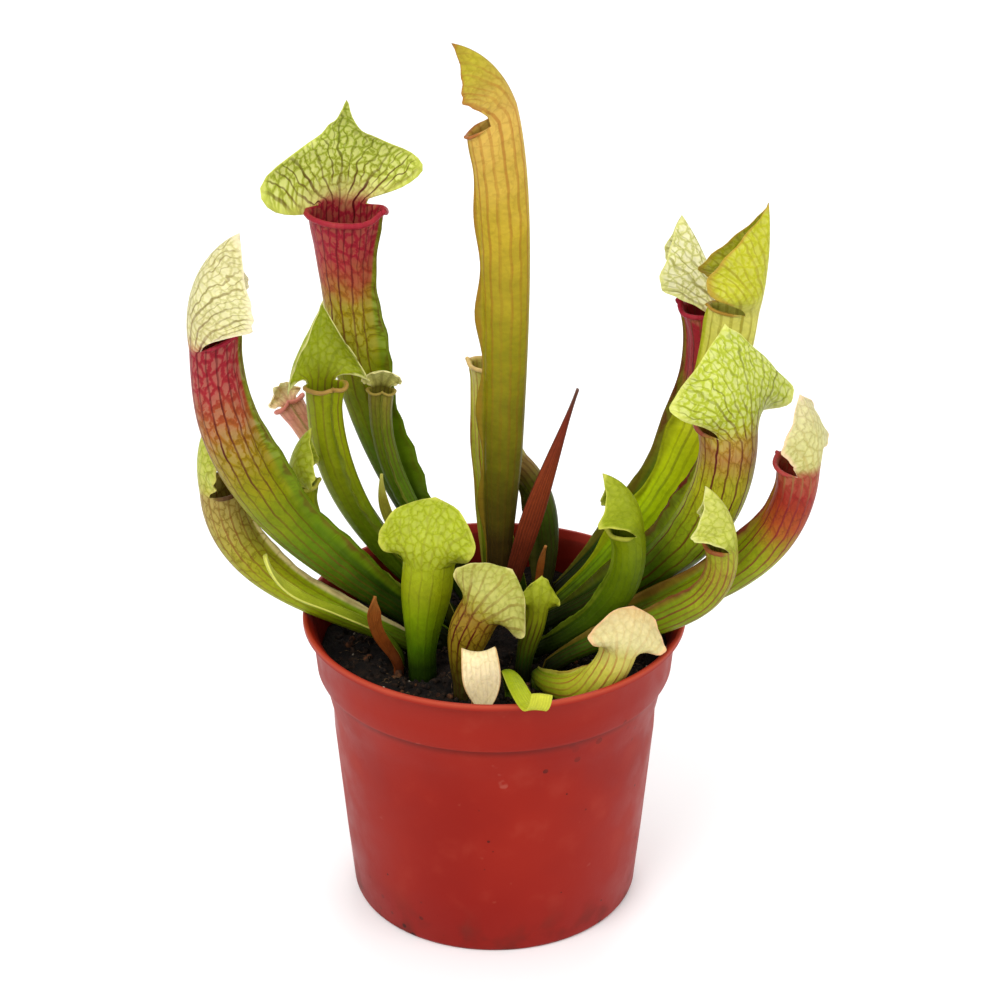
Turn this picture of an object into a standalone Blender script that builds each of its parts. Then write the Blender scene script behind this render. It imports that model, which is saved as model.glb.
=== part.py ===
"""A potted pitcher plant: hooded trumpet leaves standing in peat in a round plastic nursery pot.

Every leaf is one closed solid.  A pitcher is a tube that widens upwards, with a waved wing down its
front, a hollow mouth with a turned-out lip, and a hood that grows from the back of the mouth.
Lengths are in millimetres and become metres when the objects are made.  The origin is the middle
of the pot's flat underside; +X is to the right, +Y towards the back, +Z up.
"""
import bmesh
import bpy
import numpy as np
from math import atan2, cos, degrees, pi, radians, sin, tan

MM = 0.001
COLLECTION = "potted_pitcher_plant"

# ---------------------------------------------------------------- driving dimensions
POT_WALL = 1.2
POT_FLOOR = 1.8
POT_STEPS = 48
# outside of the pot, from the foot up to the flange: (radius, height)
POT_OUTSIDE = [(45.2, 0.0), (45.8, 1.6), (47.7, 21.0), (51.0, 59.0), (51.2, 66.0), (51.8, 68.0),
               (53.6, 72.6), (54.6, 75.6), (55.5, 79.5), (56.4, 86.0), (57.0, 94.0), (57.6, 95.8)]
POT_HEIGHT = 98.0
RIM_RADIUS = 60.0
RIM_THICKNESS = 1.8
RIM_BREADTH = 1.8
RIM_ROUND = 0.5

DRAIN_HOLES = 8
DRAIN_RADIUS = 4.0
DRAIN_CIRCLE = 33.0
DRAIN_SIDES = 12

SOIL_TOP = 84.0
CLEARANCE = 0.35            # between the soil and the pot, and round every stem and the rhizome
SOIL_RINGS = 10
SOIL_LUMP = 0.7
SOIL_UNDER_LEAF = 1.4       # the soil keeps this far below a leaf that leans over it
SOIL_BANK = 0.7             # slope of the soil beside such a leaf
HOLE_SIDES = 8

RHIZOME_MIDDLE = (-1.0, 10.0, 66.0)
RHIZOME_HALF = (19.0, 24.0, 7.0)
POCKET_CLEARANCE = 0.5
RHIZOME_STEPS = 16
RHIZOME_RINGS = 8

FOOT_HEIGHT = SOIL_TOP + 1.0     # where a leaf's own curve starts
SUNK = 9.5                       # length of the straight stub below that
STUB_NECK = 2.2                  # depth of the stub's last ring before the curve
WALL = 0.9                       # thickness of a hood and of a lip
FIN = 0.42                       # half the thickness of a wing's edge
TIP_THICKNESS = 0.75
MOUTH_DEPTH = 14.0
BLADE_EDGE = 0.35                # half the thickness of a blade's edge

# facets: rows up the tube, columns beside the wing, columns across the back and hood, hood rows
LARGE = dict(rows=9, beside=3, across=6, hood_rows=6)
MEDIUM = dict(rows=7, beside=2, across=6, hood_rows=5)
SMALL = dict(rows=6, beside=2, across=4, hood_rows=5)
BLADE_ROWS = 8
BLADE_COLUMNS = 4

# colours of the materials
TERRACOTTA = (0.36, 0.035, 0.020)
PEAT = (0.012, 0.008, 0.006)
CROWN = (0.10, 0.05, 0.03)
BRONZE = (0.42, 0.33, 0.07)
CRIMSON = (0.33, 0.16, 0.05)
OLIVE = (0.22, 0.26, 0.03)
GREEN = (0.16, 0.25, 0.02)
LIME = (0.40, 0.50, 0.06)
CREAM = (0.70, 0.66, 0.38)
MAROON = (0.22, 0.07, 0.03)
ORANGE_BROWN = (0.35, 0.11, 0.03)
DARK_SHOOT = (0.06, 0.06, 0.03)


# ---------------------------------------------------------------- the form of a leaf
def unit(v):
    return v / np.linalg.norm(v)


def ease(x):
    """0 below 0, 1 above 1, and a smooth step between."""
    x = np.clip(x, 0.0, 1.0)
    return x * x * (3 - 2 * x)


def either(value, s):
    """A value for both halves of a hood, or a pair for its s < 0 and s > 0 halves."""
    low, high = value if isinstance(value, tuple) else (value, value)
    return np.where(s < 0, low, high)


class Leaf:
    """A leaf's middle line, from the soil to its mouth or tip, and the directions across it."""
    facing = None            # which way its front faces, in degrees from +X; None is inwards
    foot_lean = 60.0         # slope of the line where it leaves the soil, in degrees
    end_lean = 80.0          # its slope at the mouth or tip
    foot_reach = 0.38        # how far each slope carries, as a share of the straight distance
    end_reach = 0.38
    path = None              # two control points in place of the slopes
    samples = 65

    def __init__(self, name, foot, end, colour, **form):
        self.name = name
        self.colour = colour
        for key, value in form.items():
            if not hasattr(type(self), key):
                raise ValueError(f"{name} has no {key}")
            setattr(self, key, value)
        self.foot = np.array([foot[0], foot[1], FOOT_HEIGHT])
        self.end = np.array(end, float)
        chord = self.end - self.foot
        out = unit(np.array([chord[0], chord[1], 0.0]) + (1e-9, 0.0, 0.0))
        if self.facing is None:
            self.facing = degrees(atan2(-out[1], -out[0]))
        self.control = np.array([self.foot, *(self.path or self.leaning_path(out, np.linalg.norm(chord))), self.end])
        self.t = np.linspace(0, 1, self.samples)
        steps = np.linalg.norm(np.diff([self.bezier(t) for t in self.t], axis=0), axis=1)
        self.distance = np.concatenate([[0], np.cumsum(steps)])
        self.length = self.distance[-1]

    def leaning_path(self, out, chord):
        def heading(lean):
            return out * cos(radians(lean)) + np.array([0, 0, sin(radians(lean))])
        return (self.foot + heading(self.foot_lean) * chord * self.foot_reach,
                self.end - heading(self.end_lean) * chord * self.end_reach)

    def bezier(self, t):
        a, b, c, d = self.control
        return (1 - t) ** 3 * a + 3 * (1 - t) ** 2 * t * b + 3 * (1 - t) * t ** 2 * c + t ** 3 * d

    def direction(self, t):
        a, b, c, d = self.control
        return unit((1 - t) ** 2 * (b - a) + 2 * (1 - t) * t * (c - b) + t ** 2 * (d - c))

    def frame(self, v):
        """The point at a share v of the length, and the ways along, to the side and to the front."""
        if v < 0:
            centre, along = self.foot + np.array([0, 0, v * self.length]), np.array([0, 0, 1.0])
        else:
            t = np.interp(v * self.length, self.distance, self.t)
            centre, along = self.bezier(t), self.direction(t)
        left = np.array([-sin(radians(self.facing)), cos(radians(self.facing)), 0.0])
        side = unit(left - along * (left @ along))
        return centre, along, side, np.cross(side, along)

    def stub_shares(self):
        return [-SUNK / self.length, -STUB_NECK / self.length]

    def stub_radius(self):
        """How far the stub in the soil reaches from its middle."""
        centre = self.frame(-SUNK / self.length)[0]
        return np.linalg.norm(self.outline(-SUNK / self.length) - centre, axis=1).max()


class Pitcher(Leaf):
    """A trumpet leaf.  Its tube's angles run from 0 at the back to 180 at the wing."""
    foot_girth = 2.6         # radius at the soil
    girth = 8.0              # radius at its widest
    depth = 1.0              # front-to-back radius over side-to-side radius
    widest = 0.78            # where it is widest
    mouth_girth = 1.0        # radius at the mouth over the widest
    slant = 10.0             # how much the mouth's front stands higher than its back, in degrees
    flare = 1.6              # how far the lip turns out
    lip_lift = 1.5           # height of the lip's beak at the front
    wing = 3.0
    wing_wave = 0.6
    wing_waves = 3
    swell = 0.15             # how much the wing's width rises and falls
    neck = 50.0              # half the angle of the mouth that the hood grows from
    neck_at = 0.0            # how far the hood is turned round the mouth from the back
    hood = 30.0              # its length
    hood_half = 16.0         # its greatest half-width
    spread = 1.0             # width factor
    hood_widest = 0.45
    taper = 0.8              # above 1 the hood narrows fast, below 1 slowly
    point = 0.0              # share of its width that narrows evenly to the tip
    hood_start = -10.0       # tilt forwards at the neck, in degrees
    hood_bend = 70.0         # tilt forwards at the tip
    cup = 0.6                # how far each half is rolled inwards, in radians
    crease = 1.0             # share of each half that the roll is spread over
    sweep = 0.25             # how far the lobes hang back towards the tube
    hang = 0.6               # where along the hood they hang farthest
    hem = 0.0                # how far the margins roll forwards
    wave = 1.0
    waves = 2.0
    facets = LARGE

    def radii(self, v):
        """Side-to-side and front-to-back radius of the tube."""
        v = min(max(v, 0.0), 1.0)
        side = self.foot_girth + (self.girth - self.foot_girth) * ease(v / self.widest) ** 1.15
        if v > self.widest:
            side *= 1 + (self.mouth_girth - 1) * ease((v - self.widest) / (1 - self.widest))
        return side, side * (1 + (self.depth - 1) * ease(v / 0.35))

    def wing_width(self, v):
        swell = 1 + self.swell * np.cos(2 * pi * self.wing_waves * v)
        return 0.3 + self.wing * swell * ease(v / 0.25) * (1 - 0.75 * ease((v - 0.55) / 0.45))

    def angles(self):
        """Angles of the columns round the tube, and which of them carry the hood."""
        neck, at, f = radians(self.neck), radians(self.neck_at), self.facets
        keel = 0.45 / max(self.foot_girth, 2.0)
        back = np.linspace(at - neck, at + neck, f["across"] + 1)
        left = np.linspace(-pi + keel, at - neck, f["beside"] + 2)[:-1]
        right = np.linspace(at + neck, pi - keel, f["beside"] + 2)[1:]
        return np.concatenate([left, back, right]), range(len(left), len(left) + len(back))

    def ring(self, v, inset=0.0, flare=0.0, lift=0.0):
        """The tube's points at v, moved in by inset, with the lip turned out by flare."""
        angles = self.angles()[0]
        centre, along, side, front = self.frame(v)
        a, b = self.radii(v)
        fore = -np.cos(angles)
        turned = flare * ease((np.abs(angles - radians(self.neck_at)) - radians(self.neck)) / radians(50))
        rim = ease((v - 0.8) / 0.2)
        beak = self.lip_lift * rim * np.clip((np.abs(angles) - radians(140)) / radians(40), 0, 1) ** 2
        x = (a - inset + turned) * np.sin(angles)
        y = (b - inset + turned) * fore
        z = tan(radians(self.slant)) * rim * b * fore + lift + beak
        return centre + np.outer(x, side) + np.outer(y, front) + np.outer(z, along)

    def outline(self, v, flare=0.0, lift=0.0):
        """The tube's points at v, closed by the two points of the wing's edge."""
        points = self.ring(v, 0.0, flare, lift)
        side, front = self.frame(v)[2:]
        width = self.wing_width(v)
        wave = self.wing_wave * sin(2 * pi * self.wing_waves * v) * ease(v / 0.2) * min(1.0, width / 2.5)
        edge = 0.5 * (points[0] + points[-1]) + front * (width + 0.15) + side * wave
        return np.vstack([points, edge + side * FIN, edge - side * FIN])

    def hood_frame(self, u, steps=24):
        """The hood's middle line at u, and the ways along it, to its side and to its inside."""
        along, side, front = self.frame(1.0)[1:]
        a, b = self.radii(1.0)
        at = radians(self.neck_at)
        rise = 1.0 - tan(radians(self.slant)) * b * cos(at)
        point = self.end + side * a * sin(at) - front * b * cos(at) + along * rise
        side, front = side * cos(at) + front * sin(at), front * cos(at) - side * sin(at)

        def heading(w):
            tilt = radians(self.hood_start + (self.hood_bend - self.hood_start) * w ** 1.3)
            return along * cos(tilt) + front * sin(tilt)
        count = max(1, round(steps * u))
        for k in range(count):
            point = point + heading(u * (k + 0.5) / count) * self.hood * u / count
        return point, heading(u), side, np.cross(side, heading(u))

    def hood_row(self, u, s, inset=0.0):
        """Points across the hood at u, for s from -1 to 1, moved towards its inside by inset."""
        point, along, side, inner = self.hood_frame(u)
        a, b = self.radii(1.0)
        neck, grown = radians(self.neck), ease(u / 0.4)
        if u < self.hood_widest:
            half = a * neck + (self.hood_half - a * neck) * ease(u / self.hood_widest)
        else:
            on = (u - self.hood_widest) / (1 - self.hood_widest)
            narrowing = self.point * (1 - on) + (1 - self.point) * (1 - ease(on)) ** either(self.taper, s)
            half = self.hood_half * narrowing
        half = half * (1 + (either(self.spread, s) - 1) * grown)
        roll = neck + (either(self.cup, s) - neck) * grown
        rolled = 1 + (self.crease - 1) * grown
        near = np.clip(np.abs(s), 0, rolled)
        far = np.abs(s) - near
        bend = roll * near / rolled
        x = half * (rolled / roll * np.sin(bend) + far * np.cos(roll))
        y = half * (rolled / roll * (1 - np.cos(bend)) + far * np.sin(roll)) * (1 + (b / a - 1) * (1 - ease(u / 0.3)))
        y = y + either(self.hem, s) * half * np.clip(np.abs(s) - 0.5, 0, 1) ** 1.5 * grown
        hanging = ease(u / min(0.35, self.hang)) * (1 - ease((u - self.hang) / 0.4))
        hang = either(self.sweep, s) * half * np.abs(s) ** 2.2 * hanging
        ripple = self.wave * np.sin(2 * pi * (self.waves * u + 0.13 * np.sign(s)))
        y = y + ripple * np.abs(s) ** 3 * ease(u / 0.3) * ease((1 - u) / 0.15)
        x = (x - inset * np.sin(bend)) * np.sign(s)
        return point + np.outer(x, side) + np.outer(y + inset * np.cos(bend), inner) - np.outer(hang, along)

    def mesh(self):
        """One closed skin: stub, tube and wing, lip, the inside of the mouth, and the hood's two sides."""
        m = Skin()
        angles, hood_columns = self.angles()
        columns, first, last = len(angles), hood_columns[0], hood_columns[-1]
        across, hood_rows = self.facets["across"], self.facets["hood_rows"]

        shares = self.stub_shares() + list(np.linspace(0, 1, self.facets["rows"]) ** 0.9)
        tube = [m.row(self.outline(v)) for v in shares] + [m.row(self.outline(1.0, self.flare, 1.0))]
        m.tube(tube)
        m.cap(tube[0][::-1], self.frame(shares[0])[0])

        depth = min(MOUTH_DEPTH, 0.5 * self.length) / self.length
        throat = [m.row(self.ring(1.0, WALL, self.flare * 0.35, 1.6)),
                  m.row(self.ring(1 - 0.45 * depth, WALL + 0.3)),
                  m.row(self.ring(1 - depth, WALL + 0.8))]
        m.tube(throat)
        m.cap(throat[-1], self.frame(1 - depth - 1.5 / self.length)[0])

        outer, inner = tube[-1], throat[0]
        for i in [*range(last, columns - 1), *range(first)]:
            m.quad(outer[i], outer[i + 1], inner[i + 1], inner[i])
        m.triangle(outer[columns - 1], outer[columns], inner[columns - 1])
        m.quad(outer[columns], outer[columns + 1], inner[0], inner[columns - 1])
        m.triangle(outer[columns + 1], outer[0], inner[0])

        s = np.linspace(-1, 1, across + 1)
        upper, under = [outer[first:last + 1]], [inner[first:last + 1]]
        for u in np.linspace(0, 1, hood_rows + 1)[1:-1]:
            upper.append(m.row(self.hood_row(u, s)))
            under.append(m.row(self.hood_row(u, s, WALL)))
        for k in range(hood_rows - 1):
            a, b, c, d = upper[k], upper[k + 1], under[k], under[k + 1]
            for i in range(across):
                m.quad(a[i], a[i + 1], b[i + 1], b[i])
                m.triangle(c[i + 1], c[i], d[i + 1])
                m.triangle(c[i], d[i], d[i + 1])
            m.quad(a[across], c[across], d[across], b[across])
            m.quad(c[0], a[0], b[0], d[0])
        point, inwards = self.hood_frame(1.0)[::3]
        tip, tip_under = m.row([point, point + inwards * TIP_THICKNESS])
        b, d = upper[-1], under[-1]
        for i in range(across):
            m.triangle(b[i], b[i + 1], tip)
            m.triangle(d[i + 1], d[i], tip_under)
        m.quad(b[across], d[across], tip_under, tip)
        m.quad(d[0], b[0], tip, tip_under)
        return m.arrays()


class Blade(Leaf):
    """A flat or folded leaf without a tube."""
    foot_half = 2.0          # half its width at the soil
    half = 3.0               # half its greatest width
    tip_half = 0.5
    widest = 0.78
    taper = 0.8
    thick = 1.2
    curl = 0.5               # how far it is rolled across, in radians

    def outline(self, v):
        """Points round the blade at v: along its lower face, then back along its upper face."""
        centre, along, side, front = self.frame(v)
        if v < self.widest:
            half = self.foot_half + (self.half - self.foot_half) * ease(v / self.widest)
        else:
            narrowing = (1 - ease((v - self.widest) / (1 - self.widest))) ** self.taper
            half = self.tip_half + (self.half - self.tip_half) * narrowing
        grown = ease(v / 0.3)
        thick = self.foot_half * 1.6 + (self.thick - self.foot_half * 1.6) * grown
        s = np.linspace(-1, 1, BLADE_COLUMNS)
        curl = max(self.curl * grown, 1e-3)
        x = half * np.sin(curl * s) / curl
        y = half * (1 - np.cos(curl * s)) / curl - 0.25 * half * curl
        body = np.maximum(0.5 * thick * np.sqrt(1 - s ** 2), BLADE_EDGE)
        x, y = np.append(x, x[::-1]), np.append(y - body, (y + body)[::-1])
        return centre + np.outer(x, side) + np.outer(y, front)

    def mesh(self):
        m = Skin()
        shares = self.stub_shares() + list(np.linspace(0, 1, BLADE_ROWS))
        rows = [m.row(self.outline(v)) for v in shares]
        m.tube(rows)
        for row, end in ((rows[0][::-1], 0), (rows[-1], 1)):
            for i in range(BLADE_COLUMNS - 1):
                m.quad(row[i], row[i + 1], row[-2 - i], row[-1 - i])
        return m.arrays()


class Skin:
    """Points and triangles of one closed solid."""

    def __init__(self):
        self.points = []
        self.triangles = []

    def row(self, points):
        start = len(self.points)
        self.points.extend(points)
        return list(range(start, len(self.points)))

    def triangle(self, a, b, c):
        self.triangles.append((a, b, c))

    def quad(self, a, b, c, d):
        self.triangles += [(a, b, c), (a, c, d)]

    def tube(self, rings):
        for below, above in zip(rings, rings[1:]):
            for i in range(len(below)):
                j = (i + 1) % len(below)
                self.quad(below[i], below[j], above[j], above[i])

    def cap(self, ring, centre):
        middle = self.row([centre])[0]
        for i in range(len(ring)):
            self.triangle(ring[i], ring[(i + 1) % len(ring)], middle)

    def arrays(self):
        points, triangles = np.array(self.points), np.array(self.triangles)
        a, b, c = (points[triangles[:, k]] for k in range(3))
        if np.einsum("ij,ij->i", a, np.cross(b, c)).sum() < 0:
            triangles = triangles[:, ::-1]
        return points, triangles


# ---------------------------------------------------------------- the leaves, placed by hand
LEAVES = [
    # behind and in the middle
    Pitcher("pitcher_tall_bronze", (1, 31), (0, 28, 247.5), BRONZE, facing=180, path=((3, 31, 140), (6.5, 28, 215)),
            foot_girth=3.4, girth=4.8, depth=1.65, widest=1.0, slant=-25, flare=1.0, lip_lift=0.0, wing=1.3,
            wing_wave=0.5, wing_waves=4.85, swell=0.9, neck=95, hood=28, hood_half=15.5, hood_widest=0.35, taper=0.5,
            hood_start=9, hood_bend=68, cup=1.5, crease=0.3, sweep=0.0, wave=0.0),
    Pitcher("pitcher_open_crimson", (-8, 32), (-46, 45, 212), CRIMSON, facing=-25, foot_lean=50, end_lean=93,
            foot_girth=3.0, girth=7.8, mouth_girth=1.35, slant=0, flare=2.4, lip_lift=3.0, wing=5.0,
            wing_wave=1.0, neck=48, neck_at=52, hood=37, hood_half=25, spread=(1.12, 1.05), hood_widest=0.33,
            taper=(6.0, 3.0), point=0.35, hood_start=-8, hood_bend=36, cup=(0.5, 0.3), sweep=(0.5, 0.1), hang=0.1,
            wave=2.0, waves=1.5),
    Pitcher("pitcher_back_green", (15, 33), (8, 42, 128), GREEN, facing=180, path=((19.5, 36, 100), (19, 41, 117)),
            girth=3.9, hood=22, hood_half=7, hood_start=-15, hood_bend=15, cup=0.8, facets=SMALL),
    Pitcher("pitcher_back_hidden", (-1, 43.5), (-3, 50.5, 158), CREAM, facing=180, foot_lean=88, end_lean=90,
            foot_girth=2.4, girth=4.0, wing=1.0, hood=14, hood_half=7, cup=0.6, facets=SMALL),
    # left
    Pitcher("pitcher_left_outer", (-17, 6), (-82.7, -13, 194), CRIMSON, facing=3, foot_lean=39, end_lean=92,
            foot_girth=3.2, girth=7.9, mouth_girth=0.86, slant=26, lip_lift=3.0, wing=4.5, neck=55, neck_at=-5,
            hood=42, hood_half=26, hood_widest=0.4, taper=0.35, hood_start=-8, hood_bend=62, cup=1.1, crease=0.5,
            sweep=0.0, wave=0.5),
    Pitcher("pitcher_left_mid", (-14, 20), (-53, 26, 162), LIME, facing=-65, foot_lean=42, end_lean=93,
            foot_girth=2.8, girth=5.6, slant=0, wing=3.5, neck=60, hood=28, hood_half=16, hood_widest=0.25,
            taper=0.9, hood_start=-5, hood_bend=20, cup=0.9, sweep=0.5, hem=0.6, wave=0.5, facets=MEDIUM),
    Pitcher("pitcher_pink_mouth", (-20, 32), (-65, 45, 147), CREAM, facing=-80, foot_lean=47, end_lean=56,
            foot_girth=2.2, girth=3.8, slant=0, wing=1.5, hood=9, hood_half=6, hood_bend=80, cup=0.3,
            facets=SMALL),
    Pitcher("pitcher_funnel", (-6.5, 22.5), (-35.6, 31, 158), OLIVE, facing=-85, foot_lean=62, end_lean=95,
            foot_girth=2.2, girth=3.4, mouth_girth=1.1, slant=0, flare=0.7, wing=1.5, hood=12, hood_half=6.8,
            hood_widest=0.55, taper=0.5, hood_start=15, hood_bend=75, cup=0.6, wave=0.0, facets=SMALL),
    Pitcher("pitcher_withered_lip", (-23.5, -2), (-84, 3, 138), OLIVE, facing=10,
            path=((-42, -10, 100.9), (-83.5, 5, 102.6)), foot_girth=2.8, girth=6.8, widest=0.95, wing=2.0, hood=23, hood_half=11, taper=0.5,
            hood_start=-5, hood_bend=25, cup=0.7, crease=0.5, facets=MEDIUM),
    Pitcher("pitcher_small_lime", (-20, 13), (-60.5, 12.7, 134), LIME, facing=0, foot_lean=40, end_lean=95,
            foot_girth=2.4, girth=4.0, hood=22, hood_half=14, taper=0.5, hood_start=-5, hood_bend=45, cup=1.0,
            crease=0.5, facets=SMALL),
    # front
    Pitcher("pitcher_front_lime", (-22.5, -11), (-20, -6, 119), LIME, facing=75, foot_lean=95,
            foot_reach=0.3, foot_girth=4.4, girth=8.0, slant=20, wing=2.0, neck=75, hood=25, hood_half=16,
            hood_widest=0.55, taper=0.35, hood_start=-5, hood_bend=65, cup=0.4, facets=MEDIUM),
    Pitcher("pitcher_front_maroon", (-9, -24), (-4, -25, 111), MAROON, facing=65, foot_lean=100, end_lean=60,
            foot_reach=0.3, foot_girth=3.6, girth=6.6, wing=1.5, neck=75, hood=21, hood_half=15,
            spread=(1.1, 0.95), hood_widest=0.5, taper=0.4, hood_start=0, hood_bend=80, cup=0.5,
            sweep=(0.25, 0.1), hem=0.3, facets=MEDIUM),
    Pitcher("pitcher_front_green", (9, -15), (13, -12, 104), GREEN, facing=100, foot_lean=85, girth=3.6,
            wing=1.0, neck=70, hood=12, hood_half=7, taper=0.6, hood_start=0, hood_bend=40, facets=SMALL),
    Pitcher("pitcher_front_cream", (14, -19.5), (37.4, -36, 103), CREAM, facing=108,
            path=((17, -39, 91), (32, -38, 86)), girth=5.6, wing=1.0, neck=70, hood=17, hood_half=13, hood_widest=0.5, taper=0.35, hood_start=0,
            hood_bend=52, cup=0.3, facets=SMALL),
    # right
    Pitcher("pitcher_right_lime", (12, -4), (41, -14, 131), GREEN, facing=185, foot_lean=30, end_lean=100,
            girth=4.8, wing=1.5, neck=65, hood=25, hood_half=17, spread=(0.78, 0.95), taper=0.45, hood_start=-5,
            hood_bend=62, cup=1.3, crease=0.4, sweep=0.0, facets=SMALL),
    Pitcher("pitcher_right_crimson", (18, 15), (71, -3, 161), MAROON, facing=138, foot_lean=33, end_lean=93,
            foot_girth=3.2, girth=8.8, wing=4.0, neck=70, hood=37, hood_half=25, spread=(0.95, 1.05),
            hood_widest=0.5, taper=(1.0, 0.55), hood_start=-2, hood_bend=38, cup=(0.25, 0.7), crease=0.8,
            sweep=(0.45, 0.05)),
    Pitcher("pitcher_ivory_hood", (21.5, 36.5), (66, 42, 181), CRIMSON, facing=172, foot_lean=42, end_lean=98,
            foot_girth=2.8, girth=5.8, slant=5, flare=2.0, lip_lift=3.0, wing=3.5, neck=65, hood=34,
            hood_half=17.5, hood_widest=0.45, taper=0.4, hood_start=8, hood_bend=26, cup=1.2, crease=0.35,
            sweep=0.0),
    Pitcher("pitcher_closed_young", (18, 23), (73.5, 22, 189), OLIVE, facing=185, foot_lean=40, end_lean=84,
            foot_girth=2.8, girth=4.8, depth=1.6, slant=4, flare=0.8, lip_lift=0.5, wing=2.5, swell=0.5, neck=70,
            hood=36, hood_half=23, hood_widest=0.32, taper=0.7, hood_start=-4, hood_bend=14, cup=1.5,
            crease=0.35, sweep=0.1, wave=0.0, facets=MEDIUM),
    Pitcher("pitcher_right_outer", (22.5, -2), (92, -10.5, 151), OLIVE, facing=145, foot_lean=30, end_lean=88,
            foot_girth=2.8, girth=6.2, neck=65, hood=27, hood_half=14, spread=(1.0, 0.85), hood_widest=0.5,
            taper=0.5, hood_start=-2, hood_bend=45, cup=(0.5, 0.8), crease=0.6, sweep=(0.3, 0.2)),
    Pitcher("pitcher_right_low", (18, -13), (69, -24, 131), OLIVE, facing=180, foot_lean=43, end_lean=95,
            girth=4.3, wing=2.0, neck=65, hood=24, hood_half=16.5, spread=(0.72, 0.92), taper=0.45, hood_start=0,
            hood_bend=50, cup=1.3, crease=0.4, sweep=0.0, facets=SMALL),
    # leaves without a tube
    Blade("leaf_bronze_spike", (3, 23), (26, 25, 162), MAROON, facing=-90, foot_lean=76, end_lean=72,
          foot_half=2.4, half=3.5, widest=0.4, taper=0.9, thick=3.0, curl=0.2),
    Blade("leaf_lime_ribbon", (4.8, -29), (14, -66.5, 106), LIME, facing=-90, path=((1, -46, 118), (12, -68, 88)),
          foot_half=1.5, half=3.2, tip_half=3.2, widest=0.95, taper=0.5, thick=1.3, curl=0.3),
    Blade("leaf_withered_cream", (-5, -33), (-3, -46, 88), CREAM, facing=90, path=((-6, -34, 112), (-4, -44, 110)),
          half=6.2, widest=0.72, taper=0.4, curl=0.6),
    Blade("leaf_pale_narrow", (-29.5, -8), (-69.5, -16, 125), LIME, facing=0, path=((-36, -14, 108), (-66, -16, 104)),
          foot_half=1.8, half=3.0, tip_half=1.5, widest=0.7, thick=1.6),
    Blade("leaf_olive_bract", (-13, 13), (-35, 12, 139), OLIVE, facing=-90, foot_lean=75, end_lean=95,
          foot_half=1.5, half=1.9),
    Blade("leaf_dead_orange", (-29.7, -14), (-36.5, -16, 111), ORANGE_BROWN, facing=-60,
          path=((-31.5, -14, 93), (-39, -18, 97)), foot_half=1.6, half=2.4),
    Blade("leaf_brown_stipule", (10, 7), (16, 2, 119), ORANGE_BROWN, facing=-90, end_lean=70, foot_half=1.2,
          half=1.2),
    Blade("leaf_dark_shoot", (-4, 9), (-10, 7, 126), DARK_SHOOT, facing=-90, foot_lean=88, end_lean=120,
          foot_half=2.2, thick=2.0),
    Blade("leaf_lime_shoot", (9, 39), (3, 38, 129), LIME, facing=-90, foot_lean=80, end_lean=100,
          foot_half=1.6, half=1.9, thick=2.0),
]


# ---------------------------------------------------------------- objects and materials
def fresh_collection(name):
    collection = bpy.data.collections.new(name)
    bpy.context.scene.collection.children.link(collection)
    return collection


def principled(name, colour, roughness, metallic=0.0):
    material = bpy.data.materials.new(name)
    material.use_nodes = True
    shader = material.node_tree.nodes["Principled BSDF"]
    shader.inputs["Base Color"].default_value = (*colour, 1.0)
    shader.inputs["Roughness"].default_value = roughness
    shader.inputs["Metallic"].default_value = metallic
    return material


def mesh_object(name, points, faces, collection, material=None):
    """An object from points in millimetres."""
    mesh = bpy.data.meshes.new(name)
    mesh.from_pydata((np.asarray(points) * MM).tolist(), [], [list(map(int, face)) for face in faces])
    if material:
        mesh.materials.append(material)
    obj = bpy.data.objects.new(name, mesh)
    collection.objects.link(obj)
    return obj


def smooth(obj, angle=40):
    obj.data.shade_smooth()
    obj.data.set_sharp_from_angle(angle=radians(angle))


def turned(name, profile, collection, material=None):
    """An object whose profile of (radius, height) in millimetres is turned round the Z axis."""
    edges = [(i, i + 1) for i in range(len(profile) - 1)]
    mesh = bpy.data.meshes.new(name)
    mesh.from_pydata([(r * MM, 0.0, z * MM) for r, z in profile], edges, [])
    if material:
        mesh.materials.append(material)
    obj = bpy.data.objects.new(name, mesh)
    collection.objects.link(obj)
    screw = obj.modifiers.new("turn", 'SCREW')
    screw.axis = 'Z'
    screw.steps = screw.render_steps = POT_STEPS
    screw.use_merge_vertices = True
    screw.merge_threshold = 0.00001
    screw.use_smooth_shade = True
    return obj


def cylinder_cutter(name, centre, radius, bottom, top, sides, collection):
    mesh = bpy.data.meshes.new(name)
    bm = bmesh.new()
    bmesh.ops.create_cone(bm, cap_ends=True, segments=sides, radius1=radius * MM, radius2=radius * MM,
                          depth=(top - bottom) * MM)
    bm.to_mesh(mesh)
    bm.free()
    obj = bpy.data.objects.new(name, mesh)
    obj.location = (centre[0] * MM, centre[1] * MM, 0.5 * (bottom + top) * MM)
    return hide_cutter(obj, collection)


def hide_cutter(obj, collection):
    obj.hide_render = True
    obj.display_type = 'WIRE'
    collection.objects.link(obj)
    return obj


def cut(obj, cutter):
    boolean = obj.modifiers.new(cutter.name, 'BOOLEAN')
    boolean.operation = 'DIFFERENCE'
    boolean.solver = 'EXACT'
    boolean.object = cutter


# ---------------------------------------------------------------- pot
def pot_inside():
    """The inner wall, from the floor up: the outside moved in by the wall's thickness."""
    wall = [(r - POT_WALL, z + 0.3 * POT_WALL) for r, z in POT_OUTSIDE[2:-1]]
    return [(POT_OUTSIDE[1][0] - POT_WALL, POT_FLOOR)] + wall


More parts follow.
